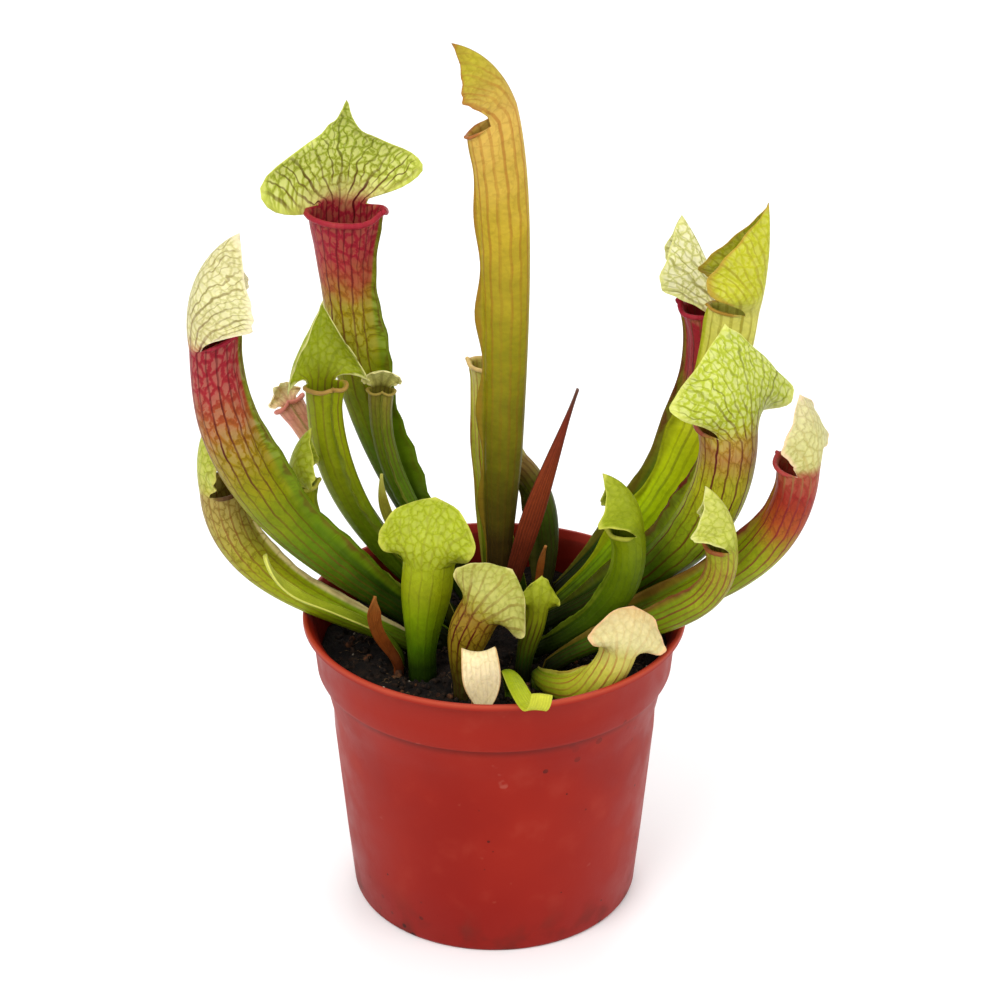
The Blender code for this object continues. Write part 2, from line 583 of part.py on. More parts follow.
def pot_profile():
    """From the middle of the floor up the inside, over the flange and down the outside."""
    rim_inner = RIM_RADIUS - RIM_BREADTH
    rim_under = POT_HEIGHT - RIM_THICKNESS
    rim = [(rim_inner, POT_HEIGHT - 0.4), (rim_inner + RIM_ROUND, POT_HEIGHT),
           (RIM_RADIUS - RIM_ROUND, POT_HEIGHT), (RIM_RADIUS, POT_HEIGHT - RIM_ROUND),
           (RIM_RADIUS, rim_under + 0.2)]
    return [(0.0, POT_FLOOR)] + pot_inside() + rim + [*reversed(POT_OUTSIDE)] + [(0.0, 0.0)]


def build_pot(parts, cutters):
    pot = turned("pot", pot_profile(), parts, principled("terracotta_plastic", TERRACOTTA, 0.42))
    for k in range(DRAIN_HOLES):
        angle = 2 * pi * (k + 0.5) / DRAIN_HOLES
        centre = (DRAIN_CIRCLE * cos(angle), DRAIN_CIRCLE * sin(angle))
        cut(pot, cylinder_cutter(f"drain_{k + 1}", centre, DRAIN_RADIUS, -2.0, POT_FLOOR + 2.0, DRAIN_SIDES,
                                 cutters))


# ---------------------------------------------------------------- soil and rhizome
def wall_radius(z):
    """Inner radius of the pot at a height."""
    radii, heights = zip(*pot_inside())
    return np.interp(z, heights, radii)


def low_points():
    """Points all over the lower halves of the leaves."""
    shares = np.linspace(0, 0.5, 30)
    return np.concatenate([leaf.outline(v) for leaf in LEAVES for v in shares])


def soil_height(x, y, near):
    """Lumpy peat, pressed down where a leaf leans low over it."""
    lumps = sin(0.23 * x + 1.3) * cos(0.19 * y) + 0.6 * sin(0.41 * y - 0.17 * x) + 0.4 * cos(0.53 * x + 0.31 * y)
    away = np.hypot(near[:, 0] - x, near[:, 1] - y)
    limit = (near[:, 2] - SOIL_UNDER_LEAF + SOIL_BANK * np.maximum(away - 2.5, 0)).min()
    return min(SOIL_TOP + SOIL_LUMP * lumps, limit)


def soil_mesh():
    """A plug that fills the pot, with rings of points over its top."""
    m = Skin()
    angles = 2 * pi * np.arange(POT_STEPS) / POT_STEPS
    near = low_points()
    sides = [POT_FLOOR + CLEARANCE] + [z for _, z in pot_inside() if POT_FLOOR + 2 < z < SOIL_TOP - 3]
    rings = [m.row([(r * cos(a), r * sin(a), z) for a in angles])
             for r, z in ((float(wall_radius(z)) - CLEARANCE, z) for z in sides)]
    edge = float(wall_radius(SOIL_TOP - 2.0)) - CLEARANCE
    for k in range(SOIL_RINGS):
        r = edge * (1 - k / SOIL_RINGS)
        rings.append(m.row([(r * cos(a), r * sin(a), soil_height(r * cos(a), r * sin(a), near)) for a in angles]))
    m.tube(rings)
    m.cap(rings[0][::-1], (0.0, 0.0, sides[0]))
    m.cap(rings[-1], (0.0, 0.0, soil_height(0.0, 0.0, near)))
    return m.arrays()


def rhizome_points(grow):
    """A knobbly lump, grown outwards by a margin: rings of points from its bottom to its top."""
    rings = []
    for k in range(RHIZOME_RINGS + 1):
        tilt = pi * k / RHIZOME_RINGS
        ring = []
        for a in 2 * pi * np.arange(RHIZOME_STEPS) / RHIZOME_STEPS:
            knob = 1 + 0.08 * sin(3 * a + 0.7) * sin(tilt) + 0.05 * cos(5 * a) * sin(2 * tilt)
            way = np.array([sin(tilt) * cos(a), sin(tilt) * sin(a), -cos(tilt)])
            ring.append(np.array(RHIZOME_MIDDLE) + way * (np.array(RHIZOME_HALF) * knob + grow))
        rings.append(ring)
    return rings


def rhizome_mesh(grow=0.0):
    m = Skin()
    bottom, *middle, top = rhizome_points(grow)
    rows = [m.row(ring) for ring in middle]
    m.tube(rows)
    m.cap(rows[0][::-1], bottom[0])
    m.cap(rows[-1], top[0])
    return m.arrays()


def build_soil(parts, cutters):
    soil = mesh_object("soil", *soil_mesh(), parts, principled("peat", PEAT, 0.95))
    pocket = mesh_object("rhizome_pocket", *rhizome_mesh(POCKET_CLEARANCE), bpy.context.scene.collection)
    bpy.context.scene.collection.objects.unlink(pocket)
    cut(soil, hide_cutter(pocket, cutters))
    for leaf in LEAVES:
        bottom = FOOT_HEIGHT - SUNK - CLEARANCE
        if over_rhizome(leaf):
            bottom = RHIZOME_MIDDLE[2]
        radius = (leaf.stub_radius() + CLEARANCE) / cos(pi / HOLE_SIDES)
        cut(soil, cylinder_cutter(f"hole_{leaf.name}", leaf.foot, radius, bottom, SOIL_TOP + 6.0, HOLE_SIDES,
                                  cutters))
    mesh_object("rhizome", *rhizome_mesh(), parts, principled("crown", CROWN, 0.85))


def over_rhizome(leaf):
    offset = (leaf.foot - RHIZOME_MIDDLE)[:2] / RHIZOME_HALF[:2]
    return np.hypot(*offset) < 0.7


# ---------------------------------------------------------------- leaves
def build_leaves(parts):
    for leaf in LEAVES:
        material = principled(f"{leaf.name}_colour", leaf.colour, 0.38)
        smooth(mesh_object(leaf.name, *leaf.mesh(), parts, material))


def main():
    for obj in list(bpy.data.objects):
        bpy.data.objects.remove(obj, do_unlink=True)
    parts = fresh_collection(COLLECTION)
    cutters = fresh_collection("cutters")
    build_pot(parts, cutters)
    build_soil(parts, cutters)
    build_leaves(parts)


main()
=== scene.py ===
"""The look of the potted pitcher plant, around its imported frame.

Every leaf stands in for its CAD node as one fine skin: the same tube, wing and hood with a rolled lip,
a deep throat, thin margins and a material of veins and net that follow the leaf.  Shapes are made in
millimetres and scaled to metres when they become meshes.
"""
import bmesh
import bpy
import numpy as np
from math import atan2, cos, degrees, pi, radians, sin, tan
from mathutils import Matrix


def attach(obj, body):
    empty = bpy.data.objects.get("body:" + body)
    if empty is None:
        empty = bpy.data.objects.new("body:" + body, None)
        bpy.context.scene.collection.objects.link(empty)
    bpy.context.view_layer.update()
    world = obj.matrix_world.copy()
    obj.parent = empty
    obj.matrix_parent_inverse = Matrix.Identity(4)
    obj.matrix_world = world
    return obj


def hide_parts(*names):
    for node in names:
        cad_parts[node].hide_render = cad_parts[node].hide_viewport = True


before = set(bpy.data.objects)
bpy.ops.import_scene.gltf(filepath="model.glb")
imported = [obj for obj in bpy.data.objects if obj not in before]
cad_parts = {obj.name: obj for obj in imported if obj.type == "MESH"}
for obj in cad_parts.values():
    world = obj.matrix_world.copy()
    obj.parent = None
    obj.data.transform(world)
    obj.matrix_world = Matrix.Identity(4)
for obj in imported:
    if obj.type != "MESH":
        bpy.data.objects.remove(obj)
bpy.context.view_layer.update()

MM = 0.001
UP = np.array((0.0, 0.0, 1.0))

# ---------------------------------------------------------------- camera, light and floor
CAMERA_DISTANCE = 0.830
CAMERA_PITCH = radians(26.45)
CAMERA_HEIGHT_AIMED = 0.136
CAMERA_SIDE = 0.0018
LENS = 97.2
LIGHTS_AIM = (0, 0, 0.12)
LIGHTS = {                       # place, size and power
    "key": ((-0.5, -0.7, 1.1), 0.8, 9.0),
    "fill": ((0.9, -0.5, 0.7), 0.9, 4.0),
    "back": ((0.1, 0.9, 0.9), 0.8, 4.0),
}
SKY_WHITE = (1.0, 1.0, 1.0, 1.0)
SKY_STRENGTH = 0.9
FLOOR_WHITE = (0.93, 0.93, 0.93)
FLOOR_SIDES = (-3000.0, 3000.0)


def linked(name, data):
    """A new object in the scene."""
    obj = bpy.data.objects.new(name, data)
    bpy.context.scene.collection.objects.link(obj)
    return obj


def add_camera():
    camera = linked("camera", bpy.data.cameras.new("camera"))
    camera.data.lens = LENS
    camera.data.sensor_width = 36.0
    camera.data.clip_start = 0.05
    camera.location = (CAMERA_SIDE, -CAMERA_DISTANCE * cos(CAMERA_PITCH),
                       CAMERA_HEIGHT_AIMED + CAMERA_DISTANCE * sin(CAMERA_PITCH))
    camera.rotation_euler = (pi / 2 - CAMERA_PITCH, 0, 0)
    bpy.context.scene.camera = camera


def add_lights():
    """Round soft lights that look at the plant, in a white surrounding."""
    for name, (place, size, power) in LIGHTS.items():
        light = linked(name, bpy.data.lights.new(name, 'AREA'))
        light.data.shape = 'DISK'
        light.data.size = size
        light.data.energy = power
        light.location = place
        x, y, z = np.subtract(LIGHTS_AIM, place)
        light.rotation_euler = (atan2(np.hypot(x, y), -z), 0, atan2(-x, y))
    world = bpy.data.worlds.new("studio")
    world.use_nodes = True
    sky = world.node_tree.nodes["Background"]
    sky.inputs["Color"].default_value = SKY_WHITE
    sky.inputs["Strength"].default_value = SKY_STRENGTH
    bpy.context.scene.world = world


def add_floor():
    n = Nodes("floor_white", roughness=0.6)
    n.set("Base Color", FLOOR_WHITE)
    plane = Surface()
    plane.sheet(plane.grid(np.array([[(x, y, 0.0) for x in FLOOR_SIDES] for y in FLOOR_SIDES])))
    floor = plane.object("floor", n.material)


# ---------------------------------------------------------------- node materials
def srgb(colour):
    """A colour in 0-255 display values as a linear one."""
    c = np.array(colour) / 255.0
    return tuple(float(x) for x in np.where(c <= 0.04045, c / 12.92, ((c + 0.055) / 1.055) ** 2.4))


SOCKETS = {"roughness": "Roughness", "specular": "Specular IOR Level", "subsurface": "Subsurface Weight",
           "scatter": "Subsurface Scale"}


class Nodes:
    """A Principled material and short ways to add nodes to it."""

    def __init__(self, name, **numbers):
        self.material = bpy.data.materials.new(name)
        self.material.use_nodes = True
        self.tree = self.material.node_tree
        self.shader = self.tree.nodes["Principled BSDF"]
        for key, value in numbers.items():
            self.shader.inputs[SOCKETS[key]].default_value = value

    def put(self, socket, value):
        if isinstance(value, bpy.types.NodeSocket):
            self.tree.links.new(value, socket)
        elif isinstance(value, tuple) and socket.type == 'RGBA':
            socket.default_value = (*value, 1.0)
        else:
            socket.default_value = value

    def set(self, name, value):
        self.put(self.shader.inputs[name], value)

    def node(self, kind, inputs=(), **settings):
        node = self.tree.nodes.new(kind)
        for key, value in settings.items():
            setattr(node, key, value)
        pairs = inputs.items() if isinstance(inputs, dict) else enumerate(inputs)
        for key, value in pairs:
            self.put(node.inputs[key], value)
        return node

    def math(self, operation, *values):
        return self.node('ShaderNodeMath', values, operation=operation).outputs[0]

    def times(self, a, b):
        return self.math('MULTIPLY', a, b)

    def plus(self, a, b):
        return self.math('ADD', a, b)

    def mix(self, factor, a, b, blend='MIX'):
        node = self.tree.nodes.new('ShaderNodeMix')
        node.data_type, node.blend_type = 'RGBA', blend
        for socket, value in zip((node.inputs[0], node.inputs[6], node.inputs[7]), (factor, a, b)):
            self.put(socket, value)
        return node.outputs[2]

    def step(self, value, low, high, start=0.0, end=1.0):
        """From start to end as value goes from low to high, smoothly."""
        return self.node('ShaderNodeMapRange', (value, low, high, start, end),
                         interpolation_type='SMOOTHSTEP').outputs[0]

    def ramp(self, factor, stops):
        """A ramp through two or more stops, each a place from 0 to 1 and a colour or a number."""
        node = self.node('ShaderNodeValToRGB', (factor,))
        elements = node.color_ramp.elements
        while len(elements) < len(stops):
            elements.new(0.5)
        for element, (position, value) in zip(elements, stops):
            element.position = position
            element.color = (*value, 1.0) if isinstance(value, tuple) else (value, value, value, 1.0)
        return node.outputs[0]

    def split(self, vector):
        return self.node('ShaderNodeSeparateXYZ', (vector,)).outputs

    def join(self, x, y, z=0.0):
        return self.node('ShaderNodeCombineXYZ', (x, y, z)).outputs[0]

    def attribute(self, name):
        return self.node('ShaderNodeAttribute', attribute_name=name).outputs["Vector"]

    def place(self):
        """The point itself, in its object's metres."""
        return self.node('ShaderNodeTexCoord').outputs["Object"]

    def noise(self, vector, scale, detail=3.0, roughness=0.5):
        inputs = {"Vector": vector, "Scale": scale, "Detail": detail, "Roughness": roughness}
        return self.node('ShaderNodeTexNoise', inputs).outputs[0]

    def cells(self, vector, scale, **settings):
        return self.node('ShaderNodeTexVoronoi', {"Vector": vector, "Scale": scale}, **settings).outputs

    def bump(self, height, distance, strength=1.0):
        node = self.node('ShaderNodeBump', {"Height": height, "Distance": distance, "Strength": strength})
        self.set("Normal", node.outputs[0])


# ---------------------------------------------------------------- the form of a leaf
FOOT_HEIGHT = 85.0               # where a leaf's own curve starts, just above the soil
SUNK = 9.5                       # length of the straight stub below that
STUB_NECK = 2.2
WALL = 0.55                      # thickness of tube and hood
THROAT = 42.0                    # depth of a pitcher's hollow
TUBE_ROWS = 60
THROAT_ROWS = 16
BESIDE = 12                      # columns between the hood's neck and the wing, on each side
ACROSS = 28                      # columns across the hood
WING_COLUMNS = 9
WING_EDGE = 0.2                  # half the wing's thickness at its edge
WING_FOOT = 0.5                  # and where it leaves the tube
RUFFLES = 4.3                    # small ripples of the wing in each of its waves
HOOD_ROWS = 26
HOOD_STEPS = 200                 # along a hood's middle line
FRILLS = 5.7                     # small waves along a hood's margin
EDGE_POINTS = 7
BLADE_ROWS = 48
BLADE_COLUMNS = 16
MAIN_VEINS = 14                  # round a tube
FAN_LENGTH = 13.0                # length of hood over which the veins spread apart
FAN_POWER = 1.5


def unit(v):
    return v / np.maximum(np.linalg.norm(v, axis=-1, keepdims=True), 1e-12)


def ease(x):
    """0 below 0, 1 above 1, and a smooth step between."""
    x = np.clip(x, 0.0, 1.0)
    return x * x * (3 - 2 * x)


def either(value, s):
    """A value for both halves of a hood, or a pair for its s < 0 and s > 0 halves."""
    low, high = value if isinstance(value, tuple) else (value, value)
    return np.where(s < 0, low, high)


class Surface:
    """Points in millimetres and the faces between them."""

    def __init__(self):
        self.points, self.faces = [], []
        self.count = 0

    def grid(self, points):
        """Adds an array of points and returns the array of their numbers."""
        shape = points.shape[:-1]
        self.points.append(points.reshape(-1, 3))
        numbers = self.count + np.arange(len(self.points[-1])).reshape(shape)
        self.count += numbers.size
        return numbers

    def strip(self, a, b, closed=False):
        if closed:
            a, b = np.append(a, a[0]), np.append(b, b[0])
        self.faces += [(a[i], a[i + 1], b[i + 1], b[i]) for i in range(len(a) - 1)]

    def sheet(self, numbers, closed=False):
        for a, b in zip(numbers, numbers[1:]):
            self.strip(a, b, closed)

    def close(self, ring, middle):
        """Closes a ring of points with a fan round the middle one."""
        ring = np.append(ring, ring[0])
        self.fan(ring, middle)

    def fan(self, line, middle):
        self.faces += [(line[i], line[i + 1], middle) for i in range(len(line) - 1)]

    def object(self, name, material):
        mesh = bpy.data.meshes.new(name)
        mesh.from_pydata((np.concatenate(self.points) * MM).tolist(), [],
                         [tuple(int(i) for i in face) for face in self.faces])
        mesh.materials.append(material)
        mesh.shade_smooth()
        return linked(name, mesh)


class Skin(Surface):
    """A leaf's surface, with what its material needs to know of each point."""

    def __init__(self):
        super().__init__()
        self.layers = {"place": [], "kind": [], "vein": [], "flat": []}

    def grid(self, points, along=0.0, margin=0.0, inside=0.0, lip=0.0, wing=0.0, vein=0.0, gap=10.0,
             x=0.0, y=0.0):
        """Adds an array of points with its values, and returns the array of their numbers."""
        rows = ((along, margin, 0.0), (inside, lip, wing), (vein, gap, 0.0), (x, y, 0.0))
        for layer, values in zip(self.layers.values(), rows):
            spread = [np.broadcast_to(value, points.shape[:-1]) for value in values]
            layer.append(np.stack(spread, axis=-1).reshape(-1, 3))
        return super().grid(points)

    def object(self, name, material):
        obj = super().object(name, material)
        for key, values in self.layers.items():
            layer = obj.data.attributes.new(key, 'FLOAT_VECTOR', 'POINT')
            layer.data.foreach_set("vector", np.concatenate(values).astype(np.float32).ravel())
        bm = bmesh.new()
        bm.from_mesh(obj.data)
        bmesh.ops.recalc_face_normals(bm, faces=bm.faces)
        bm.to_mesh(obj.data)
        bm.free()
        return obj


class Leaf:
    """A leaf's middle line, from the soil to its mouth or tip, and the directions across it."""
    facing = None            # which way its front faces, in degrees from +X; None is inwards
    foot_lean = 60.0         # slope of the line where it leaves the soil, in degrees
    end_lean = 80.0          # its slope at the mouth or tip
    foot_reach = 0.38        # how far each slope carries, as a share of the straight distance
    end_reach = 0.38
    path = None              # two control points in place of the slopes
    samples = 65

    def __init__(self, name, foot, end, look, **form):
        self.name = name
        self.look = look
        for key, value in form.items():
            if not hasattr(type(self), key):
                raise ValueError(f"{name} has no {key}")
            setattr(self, key, value)
        self.foot = np.array([foot[0], foot[1], FOOT_HEIGHT])
        self.end = np.array(end, float)
        chord = self.end - self.foot
        out = unit(np.array([chord[0] + 1e-9, chord[1], 0.0]))
        if self.facing is None:
            self.facing = degrees(atan2(-out[1], -out[0]))
        between = self.path or self.leaning_path(out, np.linalg.norm(chord))
        self.control = np.array([self.foot, *between, self.end])
        self.t = np.linspace(0, 1, self.samples)
        steps = np.linalg.norm(np.diff(self.bezier(self.t), axis=0), axis=1)
        self.distance = np.concatenate([[0], np.cumsum(steps)])
        self.length = self.distance[-1]

    def leaning_path(self, out, chord):
        def heading(lean):
            return out * cos(radians(lean)) + UP * sin(radians(lean))
        return (self.foot + heading(self.foot_lean) * chord * self.foot_reach,
                self.end - heading(self.end_lean) * chord * self.end_reach)

    def bezier(self, t):
        a, b, c, d = self.control
        t = np.asarray(t)[..., None]
        return (1 - t) ** 3 * a + 3 * (1 - t) ** 2 * t * b + 3 * (1 - t) * t ** 2 * c + t ** 3 * d

    def frames(self, v):
        """Points at shares v of the length, and the ways along, to the side and to the front."""
        v = np.asarray(v, float)
        t = np.interp(v * self.length, self.distance, self.t)[..., None]
        a, b, c, d = self.control
        below = (v < 0)[..., None]
        along = unit((1 - t) ** 2 * (b - a) + 2 * (1 - t) * t * (c - b) + t ** 2 * (d - c))
        along = np.where(below, UP, along)
        centre = self.bezier(t[..., 0]) + np.where(below, v[..., None] * self.length * UP, 0.0)
        left = np.array([-sin(radians(self.facing)), cos(radians(self.facing)), 0.0])
        side = unit(left - along * (along @ left)[..., None])
        return centre, along, side, np.cross(side, along)

    def stub_shares(self):
        return [-SUNK / self.length, -STUB_NECK / self.length, -0.3 * STUB_NECK / self.length]


class Pitcher(Leaf):
    """A trumpet leaf.  Its tube's angles run from 0 at the back to 180 at the wing."""
    foot_girth = 2.6         # radius at the soil
    girth = 8.0              # radius at its widest
    depth = 1.0              # front-to-back radius over side-to-side radius
    widest = 0.78            # where it is widest
    mouth_girth = 1.0        # radius at the mouth over the widest
    slant = 10.0             # how much the mouth's front stands higher than its back, in degrees
    flare = 1.6              # how far the lip turns out
    lip_lift = 1.5           # height of the lip's beak at the front
    wing = 3.0               # greatest width of the wing down its front
    wing_wave = 0.6          # how far the wing waves to the sides
    wing_waves = 3           # how often
    swell = 0.15             # how much the wing's width rises and falls
    neck = 50.0              # half the angle of the mouth that the hood grows from
    neck_at = 0.0            # how far the hood is turned round the mouth from the back
    hood = 30.0              # its length
    hood_half = 16.0         # its greatest half-width
    spread = 1.0             # width factor
    hood_widest = 0.45
    taper = 0.8              # above 1 the hood narrows fast, below 1 slowly
    point = 0.0              # share of its width that narrows evenly to the tip
    hood_start = -10.0       # tilt forwards at the neck, in degrees
    hood_bend = 70.0         # tilt forwards at the tip
    cup = 0.6                # how far each half is rolled inwards, in radians
    crease = 1.0             # share of each half that the roll is spread over
    sweep = 0.25             # how far the lobes hang back towards the tube
    hang = 0.6               # where along the hood they hang farthest
    hem = 0.0                # how far the margins roll forwards
    wave = 1.0               # how far the margins wave, and how often
    waves = 2.0
    frill = 0.35             # how far their small waves reach

    def radii(self, v):
        """Side-to-side and front-to-back radius of the tube."""
        v = np.clip(v, 0.0, 1.0)
        side = self.foot_girth + (self.girth - self.foot_girth) * ease(v / self.widest) ** 1.15
        if self.widest < 1:
            side = side * (1 + (self.mouth_girth - 1) * ease((v - self.widest) / (1 - self.widest)))
        return side, side * (1 + (self.depth - 1) * ease(v / 0.35))

    def wing_width(self, v):
        """It grows above the foot, swells and shrinks, narrows to the mouth and ends there."""
        swell = 1 + self.swell * np.cos(2 * pi * self.wing_waves * v)
        narrowing = 1 - 0.75 * ease((v - 0.55) / 0.45)
        return (0.3 + self.wing * swell * ease(v / 0.25) * narrowing) * ease((1.02 - v) / 0.06)

    def angles(self):
        """Angles of the columns round the tube, and where the hood's and the wing's columns start."""
        neck, at = radians(self.neck), radians(self.neck_at)
        keel = 0.5 / max(self.foot_girth, 2.0)
        back = np.linspace(at - neck, at + neck, ACROSS + 1)
        left = np.linspace(-pi + keel, at - neck, BESIDE + 1)[:-1]
        right = np.linspace(at + neck, pi - keel, BESIDE + 1)[1:]
        gap = np.linspace(pi - keel, pi + keel, WING_COLUMNS + 2)[1:-1]
        return np.concatenate([left, back, right, gap]), BESIDE, 2 * BESIDE + ACROSS + 1

    def lip_share(self, angles):
        """0 where the hood grows, 1 where the lip is turned out in full."""
        return ease((np.abs(angles - radians(self.neck_at)) - radians(self.neck)) / radians(40))

    def tube(self, v, inset=0.0):
        """Rows of points round the tube at shares v, moved in by inset; inset 0 has the wing."""
        angles, _, wing_start = self.angles()
        v = np.asarray(v, float)[:, None]
        centre, along, side, front = (part[:, 0, None, :] for part in self.frames(v))
        a, b = self.radii(v)
        fold = pi - np.abs(pi - np.abs(angles))
        rim = ease((v - 0.8) / 0.2)
        turned = 0.5 * self.flare * ease((v - 0.9) / 0.1) ** 2 * self.lip_share(angles)
        beak = self.lip_lift * rim * np.clip((fold - radians(140)) / radians(40), 0, 1) ** 2
        x = (a - inset + turned) * np.sin(angles)
        y = (b - inset + turned) * -np.cos(angles)
        z = tan(radians(self.slant)) * rim * b * -np.cos(angles) + beak + ease((v - 0.95) / 0.05)
        if np.all(inset == 0):
            across = np.linspace(-1, 1, WING_COLUMNS + 2)[1:-1]
            out = 1 - np.abs(across)
            width = self.wing_width(v)
            wave = self.wing_wave * np.sin(2 * pi * self.wing_waves * v) * ease(v / 0.2)
            wave = wave * np.minimum(1.0, width / 2.5)
            ruffle = 0.12 * width * np.sin(2 * pi * RUFFLES * self.wing_waves * v + self.facing)
            half = WING_EDGE + (WING_FOOT - WING_EDGE) * (1 - out) ** 1.5
            grown = np.minimum(1.0, width / 0.5)
            wing = (wave + ruffle) * out ** 1.5 - np.sign(across) * half
            x[:, wing_start:] = x[:, wing_start:] * (1 - grown) + grown * wing
            y[:, wing_start:] = y[:, wing_start:] + (width + 0.15) * out
        return centre + x[..., None] * side + y[..., None] * front + z[..., None] * along

    def hood_frames(self, u):
        """The hood's middle line at shares u, and the ways along it, to its side and to its inside."""
        along, side, front = (part[0] for part in self.frames([1.0])[1:])
        a, b = self.radii(1.0)
        at = radians(self.neck_at)
        rise = 1.0 - tan(radians(self.slant)) * b * cos(at)
        start = self.end + side * a * sin(at) - front * b * cos(at) + along * rise
        side, front = side * cos(at) + front * sin(at), front * cos(at) - side * sin(at)

        def heading(w):
            bend = radians(self.hood_bend - self.hood_start) * np.asarray(w)[:, None] ** 1.3
            tilt = radians(self.hood_start) + bend
            return along * np.cos(tilt) + front * np.sin(tilt)
        fine = np.linspace(0, 1, HOOD_STEPS + 1)
        middles = 0.5 * (fine[1:] + fine[:-1])
        steps = np.cumsum(heading(middles) * self.hood / HOOD_STEPS, axis=0)
        line = start + np.concatenate([np.zeros((1, 3)), steps])
        point = np.stack([np.interp(u, fine, line[:, k]) for k in range(3)], axis=-1)
        way = heading(u)
        return point, way, side, np.cross(side, way)

    def hood_grid(self, u, s):
        """The hood's points at shares u of its length and s from -1 to 1 across, and its half-widths."""
        point, along, side, inner = self.hood_frames(u)
        u = np.asarray(u)[:, None]
        a, b = self.radii(1.0)
        neck, grown = radians(self.neck), ease(u / 0.4)
        growing = a * neck + (self.hood_half - a * neck) * ease(u / self.hood_widest)
        on = np.clip((u - self.hood_widest) / (1 - self.hood_widest), 0, 1)
        narrowing = self.point * (1 - on) + (1 - self.point) * (1 - ease(on)) ** either(self.taper, s)
        half = np.where(u < self.hood_widest, growing, self.hood_half * narrowing)
        half = half * (1 + (either(self.spread, s) - 1) * grown)
        roll = neck + (either(self.cup, s) - neck) * grown
        rolled = 1 + (self.crease - 1) * grown
        near = np.clip(np.abs(s), 0, rolled)
        far = np.abs(s) - near
        bend = roll * near / rolled
        x = half * (rolled / roll * np.sin(bend) + far * np.cos(roll))
        deeper = 1 + (b / a - 1) * (1 - ease(u / 0.3))
        y = half * (rolled / roll * (1 - np.cos(bend)) + far * np.sin(roll)) * deeper
        y = y + either(self.hem, s) * half * np.clip(np.abs(s) - 0.5, 0, 1) ** 1.5 * grown
        hanging = ease(u / min(0.35, self.hang)) * (1 - ease((u - self.hang) / 0.4))
        hang = either(self.sweep, s) * half * np.abs(s) ** 2.2 * hanging
        ripple = self.wave * np.sin(2 * pi * (self.waves * u + 0.13 * np.sign(s)))
        ripple = ripple + self.frill * np.sin(2 * pi * (FRILLS * u + 0.31 * np.sign(s)) + self.facing)
        y = y + ripple * np.abs(s) ** 3 * ease(u / 0.3) * ease((1 - u) / 0.15)
        points = point[:, None] + (x * np.sign(s))[..., None] * side + y[..., None] * inner[:, None]
        return points - hang[..., None] * along[:, None], half

    def skin(self):
        m = Skin()
        angles, first, wing_start = self.angles()
        last = first + ACROSS
        spread = np.where(angles > pi, angles - 2 * pi, angles)

        def round_tube(v):
            a = self.radii(v)[0][:, None]
            return dict(along=np.clip(v, 0, 1)[:, None], vein=spread * MAIN_VEINS / (2 * pi),
                        gap=2 * pi * a / MAIN_VEINS, x=spread * a, y=((v - 1) * self.length)[:, None])

        # outside of the tube, with its wing
        out = np.zeros(len(angles))
        out[wing_start:] = 1 - np.abs(np.linspace(-1, 1, WING_COLUMNS + 2)[1:-1])
        v = np.array(self.stub_shares() + list(1 - (1 - np.linspace(0, 1, TUBE_ROWS)) ** 1.25))
        outer = m.grid(self.tube(v), wing=out, **round_tube(v))
        m.sheet(outer, closed=True)
        m.close(outer[0], m.grid(self.frames([v[0]])[0])[0])

        # inside of the tube
        depth = min(THROAT, 0.45 * self.length) / self.length
        w = 1 - depth * np.linspace(0, 1, THROAT_ROWS) ** 1.3
        inset = WALL + 0.25 * ease((1 - w) / depth)
        inner = m.grid(self.tube(w, inset[:, None]), inside=1.0, **round_tube(w))
        m.sheet(inner, closed=True)
        m.close(inner[-1], m.grid(self.frames([w[-1]])[0], inside=1.0, along=w[-1])[0])

        # hood
        s = np.linspace(-1, 1, ACROSS + 1)
        u = np.linspace(0, 1, HOOD_ROWS + 1)[1:-1]
        upper, half = self.hood_grid(u, s)
        with_ends = self.hood_grid(np.concatenate([[0.0], u, [0.999]]), s)[0]
        normal = np.cross(np.gradient(with_ends, axis=0), np.gradient(with_ends, axis=1))[1:-1]
        inwards = self.hood_frames(u)[3][:, None]
        normal = unit(normal) * np.sign((normal * inwards).sum(-1, keepdims=True))
        a_end, turned = self.radii(1.0)[0], radians(self.neck_at)
        u = u[:, None]
        y = u * self.hood
        apart = (1 + y / FAN_LENGTH) ** FAN_POWER
        edge = np.maximum(np.abs(s) * ease(u / 0.15), ease((u - 0.5) / 0.5) ** 2)
        fanned = turned + half * s / a_end / apart
        values = dict(along=1 + u, margin=edge, vein=fanned * MAIN_VEINS / (2 * pi),
                      gap=2 * pi * a_end * apart / MAIN_VEINS, x=half * s + a_end * turned, y=y)
        thick = WALL * (1 - 0.45 * ease(u / 0.5))[..., None]
        back = m.grid(upper, **values)
        face = m.grid(upper + normal * thick, inside=1.0, **values)
        for numbers, start in ((back, outer[-1][first:last + 1]), (face, inner[0][first:last + 1])):
            m.strip(start, numbers[0])
            m.sheet(numbers)

        # tip of the hood
        tip_place, tip_in = (part[0] for part in self.hood_frames([1.0])[::3])
        values = dict(along=2.0, margin=1.0, x=a_end * turned, y=self.hood,
                      vein=self.neck_at / 360 * MAIN_VEINS, gap=20.0)
        tip = m.grid(tip_place[None], **values)[0]
        tip_face = m.grid((tip_place + tip_in * WALL * 0.55)[None], inside=1.0, **values)[0]
        m.fan(back[-1], tip)
        m.fan(face[-1], tip_face)

